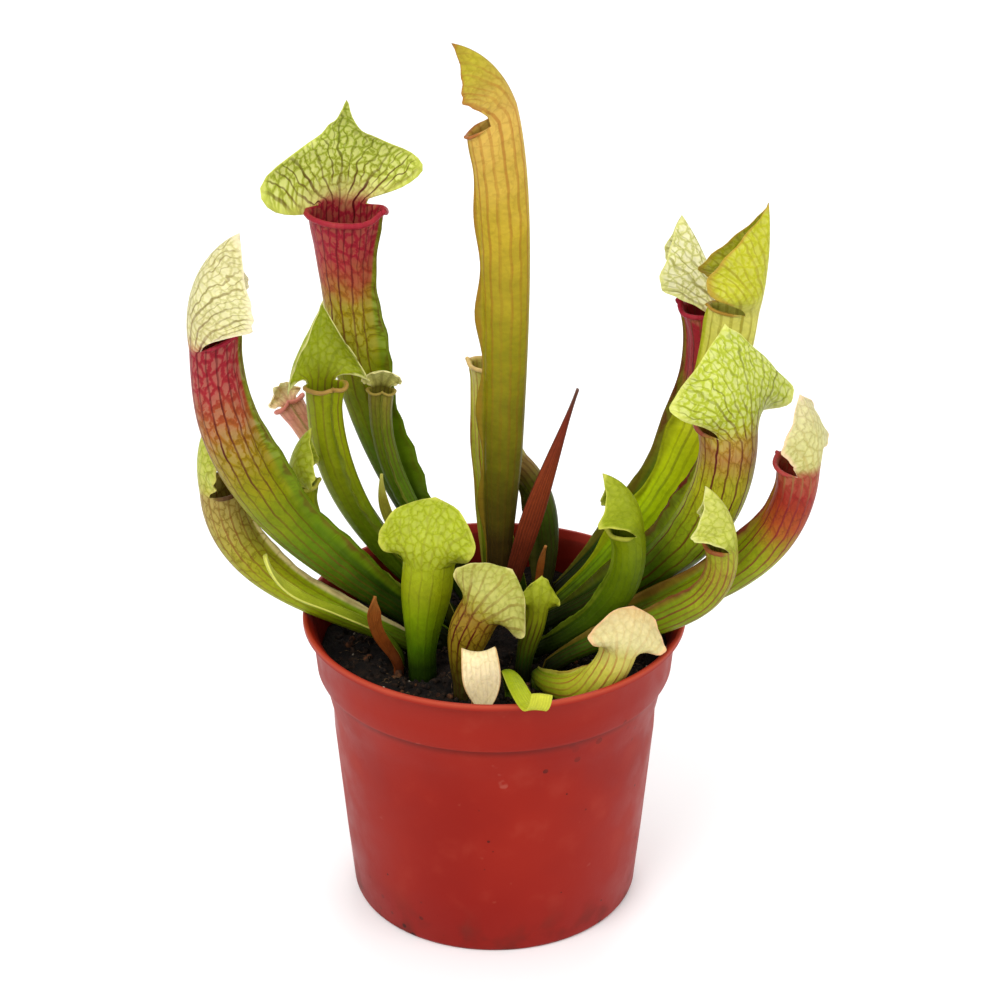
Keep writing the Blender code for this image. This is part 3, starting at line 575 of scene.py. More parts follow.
        mouth = [*range(last, len(angles)), *range(first + 1)]
        rolled = self.lip_share(np.where(angles > pi, pi, angles))[mouth]
        self.rim(m, out=[*outer[-1][mouth], *back[:, 0], tip, *back[::-1, -1]],
                 into=[*inner[0][mouth], *face[:, 0], tip_face, *face[::-1, -1]],
                 behind=[*outer[-2][mouth], *back[:, 1], back[-1, ACROSS // 2], *back[::-1, -2]],
                 weight=np.concatenate([rolled, np.zeros(2 * len(back) + 1)]))
        return m

    def rim(self, m, out, into, behind, weight):
        """The free edge: a rolled lip round the mouth that thins out into the hood's margins.

        out, into and behind number the points of the outside's edge, of the inside's and of the row
        before; weight is 1 where the edge is a lip and 0 where it is a margin.
        """
        points = np.concatenate(m.points)
        place, vein, flat = (np.concatenate(m.layers[key])[out] for key in ("place", "vein", "flat"))
        share = weight[:, None]
        normal = unit(points[out] - points[into])
        edge = points[out] - points[behind]
        edge = unit(edge - normal * (edge * normal).sum(-1, keepdims=True))
        middle = 0.5 * (points[out] + points[into])
        half = 0.5 * np.linalg.norm(points[out] - points[into], axis=1, keepdims=True)
        roll = 0.28 + 0.28 * self.flare
        centre = points[out] + normal * roll * 0.75 + edge * roll * 0.35
        rows = []
        for along in np.arange(1, EDGE_POINTS + 1) / (EDGE_POINTS + 1):
            thin, rolled = pi * along, radians(-150 + 290 * along)
            margin = middle + half * (cos(thin) * normal + sin(thin) * edge)
            lip = centre + roll * (cos(rolled) * normal + sin(rolled) * edge)
            rows.append(margin * (1 - share) + lip * share)
        numbers = m.grid(np.array(rows), along=place[:, 0], margin=1 - weight, lip=weight,
                         inside=np.linspace(0.1, 0.9, EDGE_POINTS)[:, None],
                         vein=vein[:, 0], gap=vein[:, 1], x=flat[:, 0], y=flat[:, 1])
        m.sheet(np.vstack([out, numbers, into]), closed=True)

    def reach(self, v):
        """How far the leaf reaches from its middle line."""
        return float(self.radii(v)[1] + 0.5 * self.wing_width(v))


class Blade(Leaf):
    """A flat or folded leaf without a tube."""
    foot_half = 2.0          # half its width at the soil
    half = 3.0               # half its greatest width
    tip_half = 0.5
    widest = 0.78
    taper = 0.8
    thick = 1.2
    curl = 0.5               # how far it is rolled across, in radians

    def skin(self):
        m = Skin()
        v = np.array(self.stub_shares() + list(np.linspace(0, 1, BLADE_ROWS)))
        centre, along, side, front = (part[:, None] for part in self.frames(v))
        v = v[:, None]
        widening = self.foot_half + (self.half - self.foot_half) * ease(v / self.widest)
        narrowing = (1 - ease((v - self.widest) / (1 - self.widest))) ** self.taper
        narrowing = self.tip_half + (self.half - self.tip_half) * narrowing
        half = np.where(v < self.widest, widening, narrowing)
        grown = ease(v / 0.3)
        foot_thick = self.foot_half * 1.6
        thick = foot_thick + (self.thick * 0.8 - foot_thick) * grown
        turn = np.linspace(-pi, pi, 2 * BLADE_COLUMNS + 1)[:-1]
        s, lift = np.cos(turn), np.sin(turn)
        curl = np.maximum(self.curl * grown, 1e-3)
        body = 0.5 * thick * np.sign(lift) * np.abs(lift) ** 0.8
        wave = 0.0875 * half * s ** 2 * np.sin(2 * pi * 2.6 * v + 1.5 * np.sign(s)) * grown
        x = half * np.sin(curl * s) / curl
        y = half * (1 - np.cos(curl * s)) / curl - 0.25 * half * curl + body + wave
        points = centre + x[..., None] * side + y[..., None] * front
        numbers = m.grid(points, along=np.clip(v, 0, 1), margin=np.abs(s), inside=lift > 0, vein=s * 4,
                         gap=half / 4, x=half * s, y=(v - 1) * self.length)
        m.sheet(numbers, closed=True)
        for end in (0, -1):
            m.close(numbers[end], m.grid(points[end].mean(0)[None], along=max(float(v[end][0]), 0.0))[0])
        return m

    def reach(self, v):
        """How far the leaf reaches from its middle line."""
        return self.foot_half


# ---------------------------------------------------------------- the leaves, placed as in the frame
LEAVES = [
    # behind and in the middle
    Pitcher("pitcher_tall_bronze", (1, 31), (0, 28, 247.5), "bronze", facing=180,
            path=((3, 31, 140), (6.5, 28, 215)), foot_girth=3.4, girth=4.8, depth=1.65, widest=1.0,
            slant=-25, flare=1.0, lip_lift=0.0, wing=1.3, wing_wave=0.5, wing_waves=4.85, swell=0.9,
            neck=95, hood=28, hood_half=15.5, hood_widest=0.35, taper=0.5, hood_start=9, hood_bend=68,
            cup=1.5, crease=0.3, sweep=0.0, wave=0.0),
    Pitcher("pitcher_open_crimson", (-8, 32), (-46, 45, 212), "crimson_open", facing=-25, foot_lean=50,
            end_lean=93, foot_girth=3.0, girth=7.8, mouth_girth=1.35, slant=0, flare=2.4, lip_lift=3.0,
            wing=5.0, wing_wave=1.0, neck=48, neck_at=52, hood=37, hood_half=25, spread=(1.12, 1.05),
            hood_widest=0.33, taper=(6.0, 3.0), point=0.35, hood_start=-8, hood_bend=36, cup=(0.5, 0.3),
            sweep=(0.5, 0.1), hang=0.1, wave=2.0, waves=1.5),
    Pitcher("pitcher_back_green", (15, 33), (8, 42, 128), "dark_green", facing=180,
            path=((19.5, 36, 100), (19, 41, 117)), girth=3.9, hood=22, hood_half=7, hood_start=-15,
            hood_bend=15, cup=0.8),
    Pitcher("pitcher_back_hidden", (-1, 43.5), (-3, 50.5, 158), "cream_tipped", facing=180, foot_lean=88,
            end_lean=90, foot_girth=2.4, girth=4.0, wing=1.0, hood=14, hood_half=7, cup=0.6),
    # left
    Pitcher("pitcher_left_outer", (-17, 6), (-82.7, -13, 194), "crimson_outer", facing=3, foot_lean=39,
            end_lean=92, foot_girth=3.2, girth=7.9, mouth_girth=0.86, slant=26, lip_lift=3.0, wing=4.5,
            neck=55, neck_at=-5, hood=42, hood_half=26, hood_widest=0.4, taper=0.35, hood_start=-8,
            hood_bend=62, cup=1.1, crease=0.5, sweep=0.0, wave=0.5),
    Pitcher("pitcher_left_mid", (-14, 20), (-53, 26, 162), "lime_striped", facing=-65, foot_lean=42,
            end_lean=93, foot_girth=2.8, girth=5.6, slant=0, wing=3.5, neck=60, hood=28, hood_half=16,
            hood_widest=0.25, taper=0.9, hood_start=-5, hood_bend=20, cup=0.9, sweep=0.5, hem=0.6,
            wave=0.5),
    Pitcher("pitcher_pink_mouth", (-20, 32), (-65, 45, 147), "pink_mouth", facing=-80, foot_lean=47,
            end_lean=56, foot_girth=2.2, girth=3.8, slant=0, wing=1.5, hood=9, hood_half=6, hood_bend=80,
            cup=0.3),
    Pitcher("pitcher_funnel", (-6.5, 22.5), (-35.6, 31, 158), "olive_funnel", facing=-85, foot_lean=62,
            end_lean=95, foot_girth=2.2, girth=3.4, mouth_girth=1.1, slant=0, flare=0.7, wing=1.5,
            hood=12, hood_half=6.8, hood_widest=0.55, taper=0.5, hood_start=15, hood_bend=75, cup=0.6,
            wave=0.0),
    Pitcher("pitcher_withered_lip", (-23.5, -2), (-84, 3, 138), "withered_lip", facing=10,
            path=((-42, -10, 100.9), (-83.5, 5, 102.6)), foot_girth=2.8, girth=6.8, widest=0.95, wing=2.0,
            hood=23, hood_half=11, taper=0.5, hood_start=-5, hood_bend=25, cup=0.7, crease=0.5),
    Pitcher("pitcher_small_lime", (-20, 13), (-60.5, 12.7, 134), "lime", facing=0, foot_lean=40,
            end_lean=95, foot_girth=2.4, girth=4.0, hood=22, hood_half=14, taper=0.5, hood_start=-5,
            hood_bend=45, cup=1.0, crease=0.5),
    # front
    Pitcher("pitcher_front_lime", (-22.5, -11), (-20, -6, 119), "lime", facing=75, foot_lean=95,
            foot_reach=0.3, foot_girth=4.4, girth=8.0, slant=20, wing=2.0, neck=75, hood=25, hood_half=16,
            hood_widest=0.55, taper=0.35, hood_start=-5, hood_bend=65, cup=0.4),
    Pitcher("pitcher_front_maroon", (-9, -24), (-4, -25, 111), "lime_maroon", facing=65, foot_lean=100,
            end_lean=60, foot_reach=0.3, foot_girth=3.6, girth=6.6, wing=1.5, neck=75, hood=21,
            hood_half=15, spread=(1.1, 0.95), hood_widest=0.5, taper=0.4, hood_start=0, hood_bend=80,
            cup=0.5, sweep=(0.25, 0.1), hem=0.3),
    Pitcher("pitcher_front_green", (9, -15), (13, -12, 104), "green_plain", facing=100, foot_lean=85,
            girth=3.6, wing=1.0, neck=70, hood=12, hood_half=7, taper=0.6, hood_start=0, hood_bend=40),
    Pitcher("pitcher_front_cream", (14, -19.5), (37.4, -36, 103), "cream_tipped", facing=108,
            path=((17, -39, 91), (32, -38, 86)), girth=5.6, wing=1.0, neck=70, hood=17, hood_half=13,
            hood_widest=0.5, taper=0.35, hood_start=0, hood_bend=52, cup=0.3),
    # right
    Pitcher("pitcher_right_lime", (12, -4), (41, -14, 131), "green_lime_hood", facing=185, foot_lean=30,
            end_lean=100, girth=4.8, wing=1.5, neck=65, hood=25, hood_half=17, spread=(0.78, 0.95),
            taper=0.45, hood_start=-5, hood_bend=62, cup=1.3, crease=0.4, sweep=0.0),
    Pitcher("pitcher_right_crimson", (18, 15), (71, -3, 161), "maroon_net", facing=138, foot_lean=33,
            end_lean=93, foot_girth=3.2, girth=8.8, wing=4.0, neck=70, hood=37, hood_half=25,
            spread=(0.95, 1.05), hood_widest=0.5, taper=(1.0, 0.55), hood_start=-2, hood_bend=38,
            cup=(0.25, 0.7), crease=0.8, sweep=(0.45, 0.05)),
    Pitcher("pitcher_ivory_hood", (21.5, 36.5), (66, 42, 181), "ivory_hood", facing=172, foot_lean=42,
            end_lean=98, foot_girth=2.8, girth=5.8, slant=5, flare=2.0, lip_lift=3.0, wing=3.5, neck=65,
            hood=34, hood_half=17.5, hood_widest=0.45, taper=0.4, hood_start=8, hood_bend=26, cup=1.2,
            crease=0.35, sweep=0.0),
    Pitcher("pitcher_closed_young", (18, 23), (73.5, 22, 189), "closed_young", facing=185, foot_lean=40,
            end_lean=84, foot_girth=2.8, girth=4.8, depth=1.6, slant=4, flare=0.8, lip_lift=0.5, wing=2.5,
            swell=0.5, neck=70, hood=36, hood_half=23, hood_widest=0.32, taper=0.7, hood_start=-4,
            hood_bend=14, cup=1.5, crease=0.35, sweep=0.1, wave=0.0),
    Pitcher("pitcher_right_outer", (22.5, -2), (92, -10.5, 151), "raspberry_mouth", facing=145,
            foot_lean=30, end_lean=88, foot_girth=2.8, girth=6.2, neck=65, hood=27, hood_half=14,
            spread=(1.0, 0.85), hood_widest=0.5, taper=0.5, hood_start=-2, hood_bend=45, cup=(0.5, 0.8),
            crease=0.6, sweep=(0.3, 0.2)),
    Pitcher("pitcher_right_low", (18, -13), (69, -24, 131), "cream_lime_hood", facing=180, foot_lean=43,
            end_lean=95, girth=4.3, wing=2.0, neck=65, hood=24, hood_half=16.5, spread=(0.72, 0.92),
            taper=0.45, hood_start=0, hood_bend=50, cup=1.3, crease=0.4, sweep=0.0),
    # leaves without a tube
    Blade("leaf_bronze_spike", (3, 23), (26, 25, 162), "spike", facing=-90, foot_lean=76, end_lean=72,
          foot_half=2.4, half=3.5, widest=0.4, taper=0.9, thick=3.0, curl=0.2),
    Blade("leaf_lime_ribbon", (4.8, -29), (14, -66.5, 106), "ribbon", facing=-90,
          path=((1, -46, 118), (12, -68, 88)), foot_half=1.5, half=3.2, tip_half=3.2, widest=0.95,
          taper=0.5, thick=1.3, curl=0.3),
    Blade("leaf_withered_cream", (-5, -33), (-3, -46, 88), "withered", facing=90,
          path=((-6, -34, 112), (-4, -44, 110)), half=6.2, widest=0.72, taper=0.4, curl=0.6),
    Blade("leaf_pale_narrow", (-29.5, -8), (-69.5, -16, 125), "pale_green", facing=0,
          path=((-36, -14, 108), (-66, -16, 104)), foot_half=1.8, half=3.0, tip_half=1.5, widest=0.7,
          thick=1.6),
    Blade("leaf_olive_bract", (-13, 13), (-35, 12, 139), "bract", facing=-90, foot_lean=75, end_lean=95,
          foot_half=1.5, half=1.9),
    Blade("leaf_dead_orange", (-29.7, -14), (-36.5, -16, 111), "dead", facing=-60,
          path=((-31.5, -14, 93), (-39, -18, 97)), foot_half=1.6, half=2.4),
    Blade("leaf_brown_stipule", (10, 7), (16, 2, 119), "dead", facing=-90, end_lean=70, foot_half=1.2,
          half=1.2),
    Blade("leaf_dark_shoot", (-4, 9), (-10, 7, 126), "shoot", facing=-90, foot_lean=88, end_lean=120,
          foot_half=2.2, thick=2.0),
    Blade("leaf_lime_shoot", (9, 39), (3, 38, 129), "ribbon", facing=-90, foot_lean=80, end_lean=100,
          foot_half=1.6, half=1.9, thick=2.0),
]


# ---------------------------------------------------------------- what the leaves look like
# Each layer is a text of stops: how far along the leaf, from 0 at the soil over 100 at the mouth to 200
# at the hood's tip, and the colour (0 to 255) or the strength there.  The tissue is the ground colour,
# with painted shade in its near-black stops low by the soil; vein colours its veins and net, veins and
# net say how strong these are, and pale how strong the paler colour is in the net's cells.
# The lowest stops of a tube's tissue, near black by the soil: painted shade low in the clump.
PAINTED_FOOT_SHADE = "0 16 24 6, 22 38 62 6, 45 88 114 8, "
NO_TUBE = dict(net="0 0, 200 0", pale="0 0, 200 0", pale_colour=(0, 0, 0), wing=(0, 0, 0), lip=(0, 0, 0))

LOOKS = {
    "bronze": dict(slot="bronze_leaf",
        tissue="0 48 34 16, 12 66 50 20, 30 102 98 17, 55 138 129 17, 80 178 152 40, 100 196 160 74, "
               "135 169 143 53, 170 164 152 38, 200 152 129 38",
        vein="0 60 40 20, 50 138 104 22, 100 158 96 34, 200 150 124 40",
        veins="10 .3, 40 .6, 100 .65, 200 .5", net="50 0, 100 .25, 200 .2", pale="90 0, 130 .2, 200 .15",
        pale_colour=(194, 177, 77), wing=(150, 122, 34), margin=(150, 92, 40), lip=(150, 84, 40),
        throat=(120, 90, 20)),
    "crimson_open": dict(slot="crimson_leaf",
        tissue=PAINTED_FOOT_SHADE + "62 130 136 8, 79 148 128 16, 86 152 70 38, 92 150 30 44, 100 146 28 44, "
               "103.5 176 130 84, 110 196 186 104, 122 168 174 62, 150 171 182 69, 200 168 180 66",
        vein="0 50 50 10, 50 100 66 18, 78 84 18 18, 100 80 8 16, 114 84 14 12, 126 84 50 16, "
             "140 100 98 24, 200 108 120 28", veins="20 .1, 45 .5, 70 .95, 100 1, 130 .9, 200 .7",
        net="50 0, 72 .6, 90 .3, 100 .2, 130 .5, 200 .5",
        pale="60 0, 76 .35, 88 .15, 102 .15, 120 .9, 150 .9, 200 .6", pale_colour=(216, 218, 136),
        wing=(98, 124, 12), margin=(190, 196, 84), lip=(150, 34, 48), throat=(96, 34, 22)),
    "crimson_outer": dict(slot="crimson_leaf",
        tissue=PAINTED_FOOT_SHADE + "60 126 132 10, 74 142 116 10, 83 148 74 30, 90 148 34 40, 100 140 24 40, "
               "106 170 114 73, 115 193 183 121, 150 199 193 136, 200 192 184 126",
        vein="0 50 40 10, 40 104 62 22, 75 78 14 16, 100 78 10 16, 115 104 60 34, 140 112 96 44, "
             "200 128 108 56", veins="15 .2, 35 .85, 70 1, 100 1, 130 .85, 200 .6",
        net="50 0, 70 .5, 85 .25, 100 .2, 120 .3, 200 .25",
        pale="66 0, 78 .4, 90 .3, 100 .2, 110 .6, 200 .7", pale_colour=(220, 214, 168),
        wing=(100, 126, 10), margin=(228, 216, 180), lip=(140, 24, 44), throat=(110, 30, 34)),
    "lime_striped": dict(slot="lime_leaf",
        tissue="0 20 32 6, 20 54 82 6, 45 104 126 8, 70 138 148 10, 100 148 158 16, 140 158 168 28, "
               "200 150 162 26",
        vein="0 60 70 10, 70 118 110 20, 100 110 60 40, 120 130 140 30, 200 140 156 40",
        veins="20 .1, 60 .5, 90 .8, 120 .6, 200 .5", net="80 0, 110 .35, 200 .4",
        pale="100 0, 130 .4, 200 .4", pale_colour=(181, 185, 94), wing=(128, 140, 30),
        margin=(214, 210, 140), lip=(170, 130, 70), throat=(96, 50, 34)),
    "pink_mouth": dict(slot="cream_leaf",
        tissue="0 40 50 12, 40 110 120 20, 80 180 150 90, 95 210 140 120, 120 226 200 150, "
               "200 214 214 150", vein="0 80 70 20, 100 170 90 80, 200 180 150 80",
        veins="30 .4, 100 .5, 200 .4", net="80 0, 100 .4, 200 .3", pale="90 0, 200 .4",
        pale_colour=(236, 226, 190), wing=(170, 150, 90), margin=(226, 206, 160), lip=(190, 110, 96),
        throat=(130, 60, 50)),
    "olive_funnel": dict(slot="olive_leaf",
        tissue="0 40 62 10, 30 64 92 10, 60 80 110 8, 85 98 112 16, 100 126 118 40, 115 196 190 96, "
               "200 214 210 140", vein="0 60 60 10, 100 90 66 30, 200 150 150 60",
        veins="30 .2, 80 .7, 110 .5, 200 .4", net="80 0, 100 .3, 200 .2", pale="100 0, 200 .4",
        pale_colour=(226, 222, 160), wing=(110, 120, 30), margin=(214, 204, 140), lip=(150, 130, 60),
        throat=(60, 46, 20)),
    "withered_lip": dict(slot="olive_leaf",
        tissue="0 36 50 8, 25 98 124 6, 50 138 150 8, 70 142 140 18, 85 153 138 53, 100 150 126 64, "
               "110 167 159 64, 140 170 176 68, 200 162 169 56",
        vein="0 60 50 10, 50 118 84 24, 85 120 60 30, 120 130 124 40, 200 146 150 50",
        veins="20 .3, 50 .7, 90 .9, 130 .6, 200 .5", net="40 0, 70 .6, 100 .7, 200 .5",
        pale="60 0, 90 .4, 200 .5", pale_colour=(194, 188, 110), wing=(206, 186, 130),
        margin=(190, 180, 90), lip=(66, 34, 18), throat=(60, 30, 16)),
    "lime": dict(slot="lime_leaf",
        tissue="0 32 52 6, 20 74 108 6, 45 122 148 8, 70 138 148 10, 100 148 158 16, 140 158 168 28, "
               "200 150 162 26", vein="0 60 76 10, 100 128 124 24, 200 146 152 40",
        veins="20 .1, 70 .4, 120 .6, 200 .5", net="80 0, 110 .45, 200 .5", pale="90 0, 120 .45, 200 .45",
        pale_colour=(181, 187, 89), wing=(150, 160, 50), margin=(196, 196, 80), lip=(170, 164, 60),
        throat=(90, 90, 20)),
    "lime_maroon": dict(slot="maroon_leaf",
        tissue="0 56 50 14, 20 88 76 10, 50 136 114 20, 80 138 112 26, 100 136 104 28, 115 150 140 40, "
               "140 164 162 79, 200 159 161 67",
        vein="0 60 24 14, 60 80 18 14, 100 88 20 16, 130 110 74 30, 200 150 140 50",
        veins="10 .7, 50 1, 100 1, 130 .7, 200 .5", net="20 .5, 70 .8, 100 .7, 130 .2, 200 .2",
        pale="90 .1, 130 .5, 200 .5", pale_colour=(186, 183, 101), wing=(150, 110, 50),
        margin=(214, 204, 130), lip=(150, 70, 50), throat=(90, 30, 20)),
    "green_plain": dict(slot="green_leaf",
        tissue="0 16 24 6, 22 38 62 6, 50 96 110 14, 90 140 148 20, 120 152 160 22, 200 160 168 34",
        vein="0 40 36 10, 80 90 60 20, 120 128 130 24, 200 130 138 30",
        veins="10 .5, 60 .9, 120 .6, 200 .4", net="80 0, 110 .3, 200 .3", pale="100 0, 200 .25",
        pale_colour=(190, 196, 90), wing=(120, 130, 30), margin=(180, 180, 70), lip=(150, 140, 50),
        throat=(60, 50, 16)),
    "cream_tipped": dict(slot="cream_leaf",
        tissue="0 50 70 10, 25 112 128 12, 60 160 160 34, 85 190 186 70, 100 184 175 88, "
               "130 202 192 134, 170 202 184 129, 200 197 161 104",
        vein="0 90 80 16, 50 138 92 30, 100 160 104 50, 200 200 170 110",
        veins="10 .4, 40 .9, 90 .9, 130 .3, 200 .15", net="80 0, 110 .2, 200 .1", pale="90 0, 200 .3",
        pale_colour=(220, 210, 160), wing=(170, 166, 60), margin=(226, 176, 130), lip=(200, 170, 110),
        throat=(120, 90, 40)),
    "green_lime_hood": dict(slot="green_leaf",
        tissue="0 16 24 6, 25 40 58 8, 55 65 88 3, 85 94 112 3, 105 117 130 6, 140 130 142 15, "
               "200 140 148 30", vein="0 30 34 8, 80 80 100 8, 120 128 140 16, 200 140 150 26",
        veins="10 .6, 60 .6, 120 .5, 200 .4", net="80 0, 110 .3, 200 .3", pale="100 0, 200 .25",
        pale_colour=(172, 179, 70), wing=(110, 126, 24), margin=(190, 190, 80), lip=(150, 150, 50),
        throat=(50, 50, 14)),
    "maroon_net": dict(slot="maroon_leaf",
        tissue="0 16 24 6, 25 42 60 4, 45 68 94 6, 65 126 142 16, 84 158 156 22, 96 154 104 44, "
               "106 168 156 44, 120 160 170 36, 150 172 182 56, 200 172 182 54",
        vein="0 20 26 8, 30 60 36 12, 60 90 36 18, 95 84 18 20, 115 96 60 20, 135 108 108 24, "
             "200 120 130 30", veins="10 .8, 50 1, 100 1, 130 .8, 200 .7",
        net="35 .1, 65 .4, 100 .4, 130 .25, 200 .25", pale="80 0, 120 .5, 200 .6",
        pale_colour=(216, 218, 157), wing=(84, 94, 12), margin=(206, 208, 110), lip=(140, 60, 50),
        throat=(90, 30, 30)),
    "ivory_hood": dict(slot="crimson_leaf",
        tissue="0 16 24 6, 22 38 62 6, 50 90 104 14, 72 130 120 34, 84 140 44 44, 100 150 30 44, "
               "105 190 140 96, 115 208 202 138, 150 214 210 146, 200 204 202 126",
        vein="0 40 34 10, 60 90 50 20, 90 90 14 26, 110 120 90 40, 140 136 130 60, 200 150 148 70",
        veins="20 .5, 70 .9, 100 .9, 130 .9, 200 .7", net="60 0, 90 .3, 120 .5, 200 .45",
        pale="100 0, 115 .6, 200 .7", pale_colour=(240, 236, 210), wing=(110, 104, 24),
        margin=(214, 212, 130), lip=(144, 20, 44), throat=(110, 20, 36)),
    "closed_young": dict(slot="olive_leaf",
        tissue="0 16 24 6, 20 104 136 4, 40 160 184 4, 65 172 180 10, 86 190 188 60, 100 198 192 92, "
               "120 178 178 42, 160 176 176 40, 200 170 172 34",
        vein="0 30 34 8, 40 90 104 12, 100 140 126 20, 200 150 140 40",
        veins="10 .6, 50 .6, 100 .7, 200 .7", net="80 0, 110 .25, 200 .25",
        pale="100 0, 130 .35, 200 .35", pale_colour=(199, 194, 114), wing=(158, 164, 10),
        margin=(170, 130, 50), lip=(160, 116, 40), throat=(110, 90, 20)),
    "raspberry_mouth": dict(slot="olive_leaf",
        tissue="0 16 24 6, 20 59 76 3, 45 110 126 6, 70 136 146 16, 84 150 68 28, 95 138 26 26, "
               "104 152 66 48, 115 183 176 107, 150 186 180 116, 200 198 183 146",
        vein="0 40 34 10, 40 104 60 20, 90 120 30 36, 120 170 150 80, 200 190 176 120",
        veins="10 .6, 40 .9, 100 1, 130 .5, 200 .4", net="60 0, 85 .5, 120 .5, 200 .5",
        pale="90 0, 130 .6, 200 .6", pale_colour=(208, 206, 144), wing=(130, 100, 30),
        margin=(230, 196, 160), lip=(156, 56, 56), throat=(120, 36, 40)),
    "cream_lime_hood": dict(slot="olive_leaf",
        tissue="0 16 24 6, 25 57 84 4, 50 96 117 6, 75 131 141 22, 92 142 134 34, 105 147 156 34, "
               "130 175 179 71, 200 179 181 80",
        vein="0 34 30 10, 50 100 56 24, 90 120 50 36, 120 146 150 50, 200 156 160 60",
        veins="10 .6, 50 .9, 100 .8, 130 .5, 200 .4", net="60 0, 85 .4, 120 .5, 200 .5",
        pale="90 0, 130 .5, 200 .5", pale_colour=(196, 196, 114), wing=(120, 100, 30),
        margin=(206, 204, 130), lip=(130, 60, 36), throat=(90, 40, 24)),
    "dark_green": dict(slot="green_leaf",
        tissue="0 30 30 12, 30 52 56 16, 60 64 84 14, 85 90 96 24, 100 140 110 56, 115 190 184 70, "
               "200 200 198 100", vein="0 24 24 8, 100 90 60 30, 200 150 150 60",
        veins="20 .5, 100 .6, 200 .4", net="80 0, 120 .4, 200 .4", pale="100 0, 200 .4",
        pale_colour=(214, 210, 130), wing=(80, 80, 24), margin=(200, 196, 110), lip=(190, 160, 110),
        throat=(90, 60, 30)),
    # leaves without a tube
    "spike": dict(NO_TUBE, slot="maroon_leaf",
        tissue="0 66 24 10, 30 122 48 26, 60 156 68 34, 85 140 52 34, 97 104 66 52, 200 100 70 60",
        vein="0 40 20 12, 200 80 30 20", veins="0 .5, 200 .5", margin=(84, 34, 24)),
    "ribbon": dict(NO_TUBE, slot="lime_leaf",
        tissue="0 60 88 10, 40 120 140 10, 80 170 178 24, 100 196 196 60, 200 196 196 60",
        vein="0 60 80 10, 200 150 156 30", veins="0 .3, 200 .3", margin=(180, 184, 50)),
    "withered": dict(NO_TUBE, slot="cream_leaf",
        tissue="0 120 90 40, 40 225 206 152, 70 240 221 175, 100 231 215 163, 200 227 206 152",
        vein="0 150 100 50, 200 196 150 90", veins="0 .1, 200 .12", net="0 .2, 200 .2",
        pale="0 .2, 200 .3", pale_colour=(236, 222, 178), margin=(196, 140, 80)),
    "pale_green": dict(NO_TUBE, slot="lime_leaf",
        tissue="0 70 90 10, 30 112 126 14, 70 170 180 40, 100 200 200 84, 200 200 200 84",
        vein="0 60 80 10, 200 160 164 50", veins="0 .4, 200 .4", margin=(206, 204, 100)),
    "bract": dict(NO_TUBE, slot="olive_leaf",
        tissue="0 50 60 10, 60 110 110 20, 85 150 144 40, 100 196 192 90, 200 196 192 90",
        vein="0 50 50 10, 200 120 110 34", veins="0 .5, 200 .5", margin=(180, 170, 80)),
    "dead": dict(NO_TUBE, slot="dead_leaf",
        tissue="0 70 30 12, 40 140 70 20, 80 150 84 30, 100 170 110 50, 200 170 110 50",
        vein="0 60 24 10, 200 110 50 20", veins="0 .5, 200 .5", net="0 .2, 200 .2", pale="0 .1, 200 .2",
        pale_colour=(190, 120, 60), margin=(120, 56, 20)),
    "shoot": dict(NO_TUBE, slot="green_leaf",
        tissue="0 24 26 10, 50 44 50 14, 90 70 74 20, 100 90 84 30, 200 90 84 30",
        vein="0 20 16 8, 200 50 40 16", veins="0 .4, 200 .4", margin=(80, 60, 24)),
}

CELL_WIDTH = 2.7                 # of the net, in millimetres
CELL_ON_TUBE = 5.0               # and its cells' length, on the tube and on the hood
CELL_ON_HOOD = 3.0
VEIN_HALVES = {1: 0.22, 2: 0.15, 4: 0.11, 8: 0.09}    # half-widths of veins, by how often they split


def stops(text):
    """A layer's text as ramp stops: each a place from 0 to 1, and a linear colour or a number."""
    rows = [[float(word) for word in row.split()] for row in text.split(",")]
    return [(place / 200, srgb(value) if len(value) == 3 else value[0]) for place, *value in rows]


def leaf_net(n, x, y, along, small):
    """How much a point is net, and how much areole: cells are long on the tube, round on the hood."""
    rows = n.step(along, 0.75, 1.1, 1 / CELL_ON_TUBE, 1 / CELL_ON_HOOD)
    cell_x = n.math('MULTIPLY_ADD', x, 1 / CELL_WIDTH, n.times(small, 0.9))
    cell_y = n.math('MULTIPLY_ADD', y, rows, n.times(small, 0.7))
    away = n.cells(n.join(cell_x, cell_y), 1.0, feature='DISTANCE_TO_EDGE', voronoi_dimensions='2D')
    return n.step(away["Distance"], 0.02, 0.1, 1.0, 0.0), n.step(away["Distance"], 0.08, 0.26)


def leaf_veins(n, vein, gap, along, broad):
    """How much a point is vein: lines of equal value, split in two where they stand far apart."""
    bent = n.plus(vein, n.times(broad, 0.5))
    thicker = n.step(along, 0.95, 1.2, 1.15, 1.9)
    lines = 0.0
    for splits, half in VEIN_HALVES.items():
        apart = n.math('DIVIDE', gap, float(splits))
        share = n.math('FRACT', n.math('MULTIPLY_ADD', bent, float(splits), 0.5))
        off = n.times(n.math('ABSOLUTE', n.math('SUBTRACT', share, 0.5)), apart)
        line = n.step(n.math('DIVIDE', off, thicker), half * 0.6, half * 1.7, 1.0, 0.0)
        if splits > 1:
            line = n.times(line, n.step(apart, 1.6, 2.6, 0.0, 0.9))
        lines = n.math('MAXIMUM', lines, line)
    uneven = n.noise(n.join(n.times(vein, 1.9), n.times(along, 2.2)), 1.0, 1.0)
    return n.times(lines, n.step(uneven, 0.38, 0.62, 0.55, 1.0))


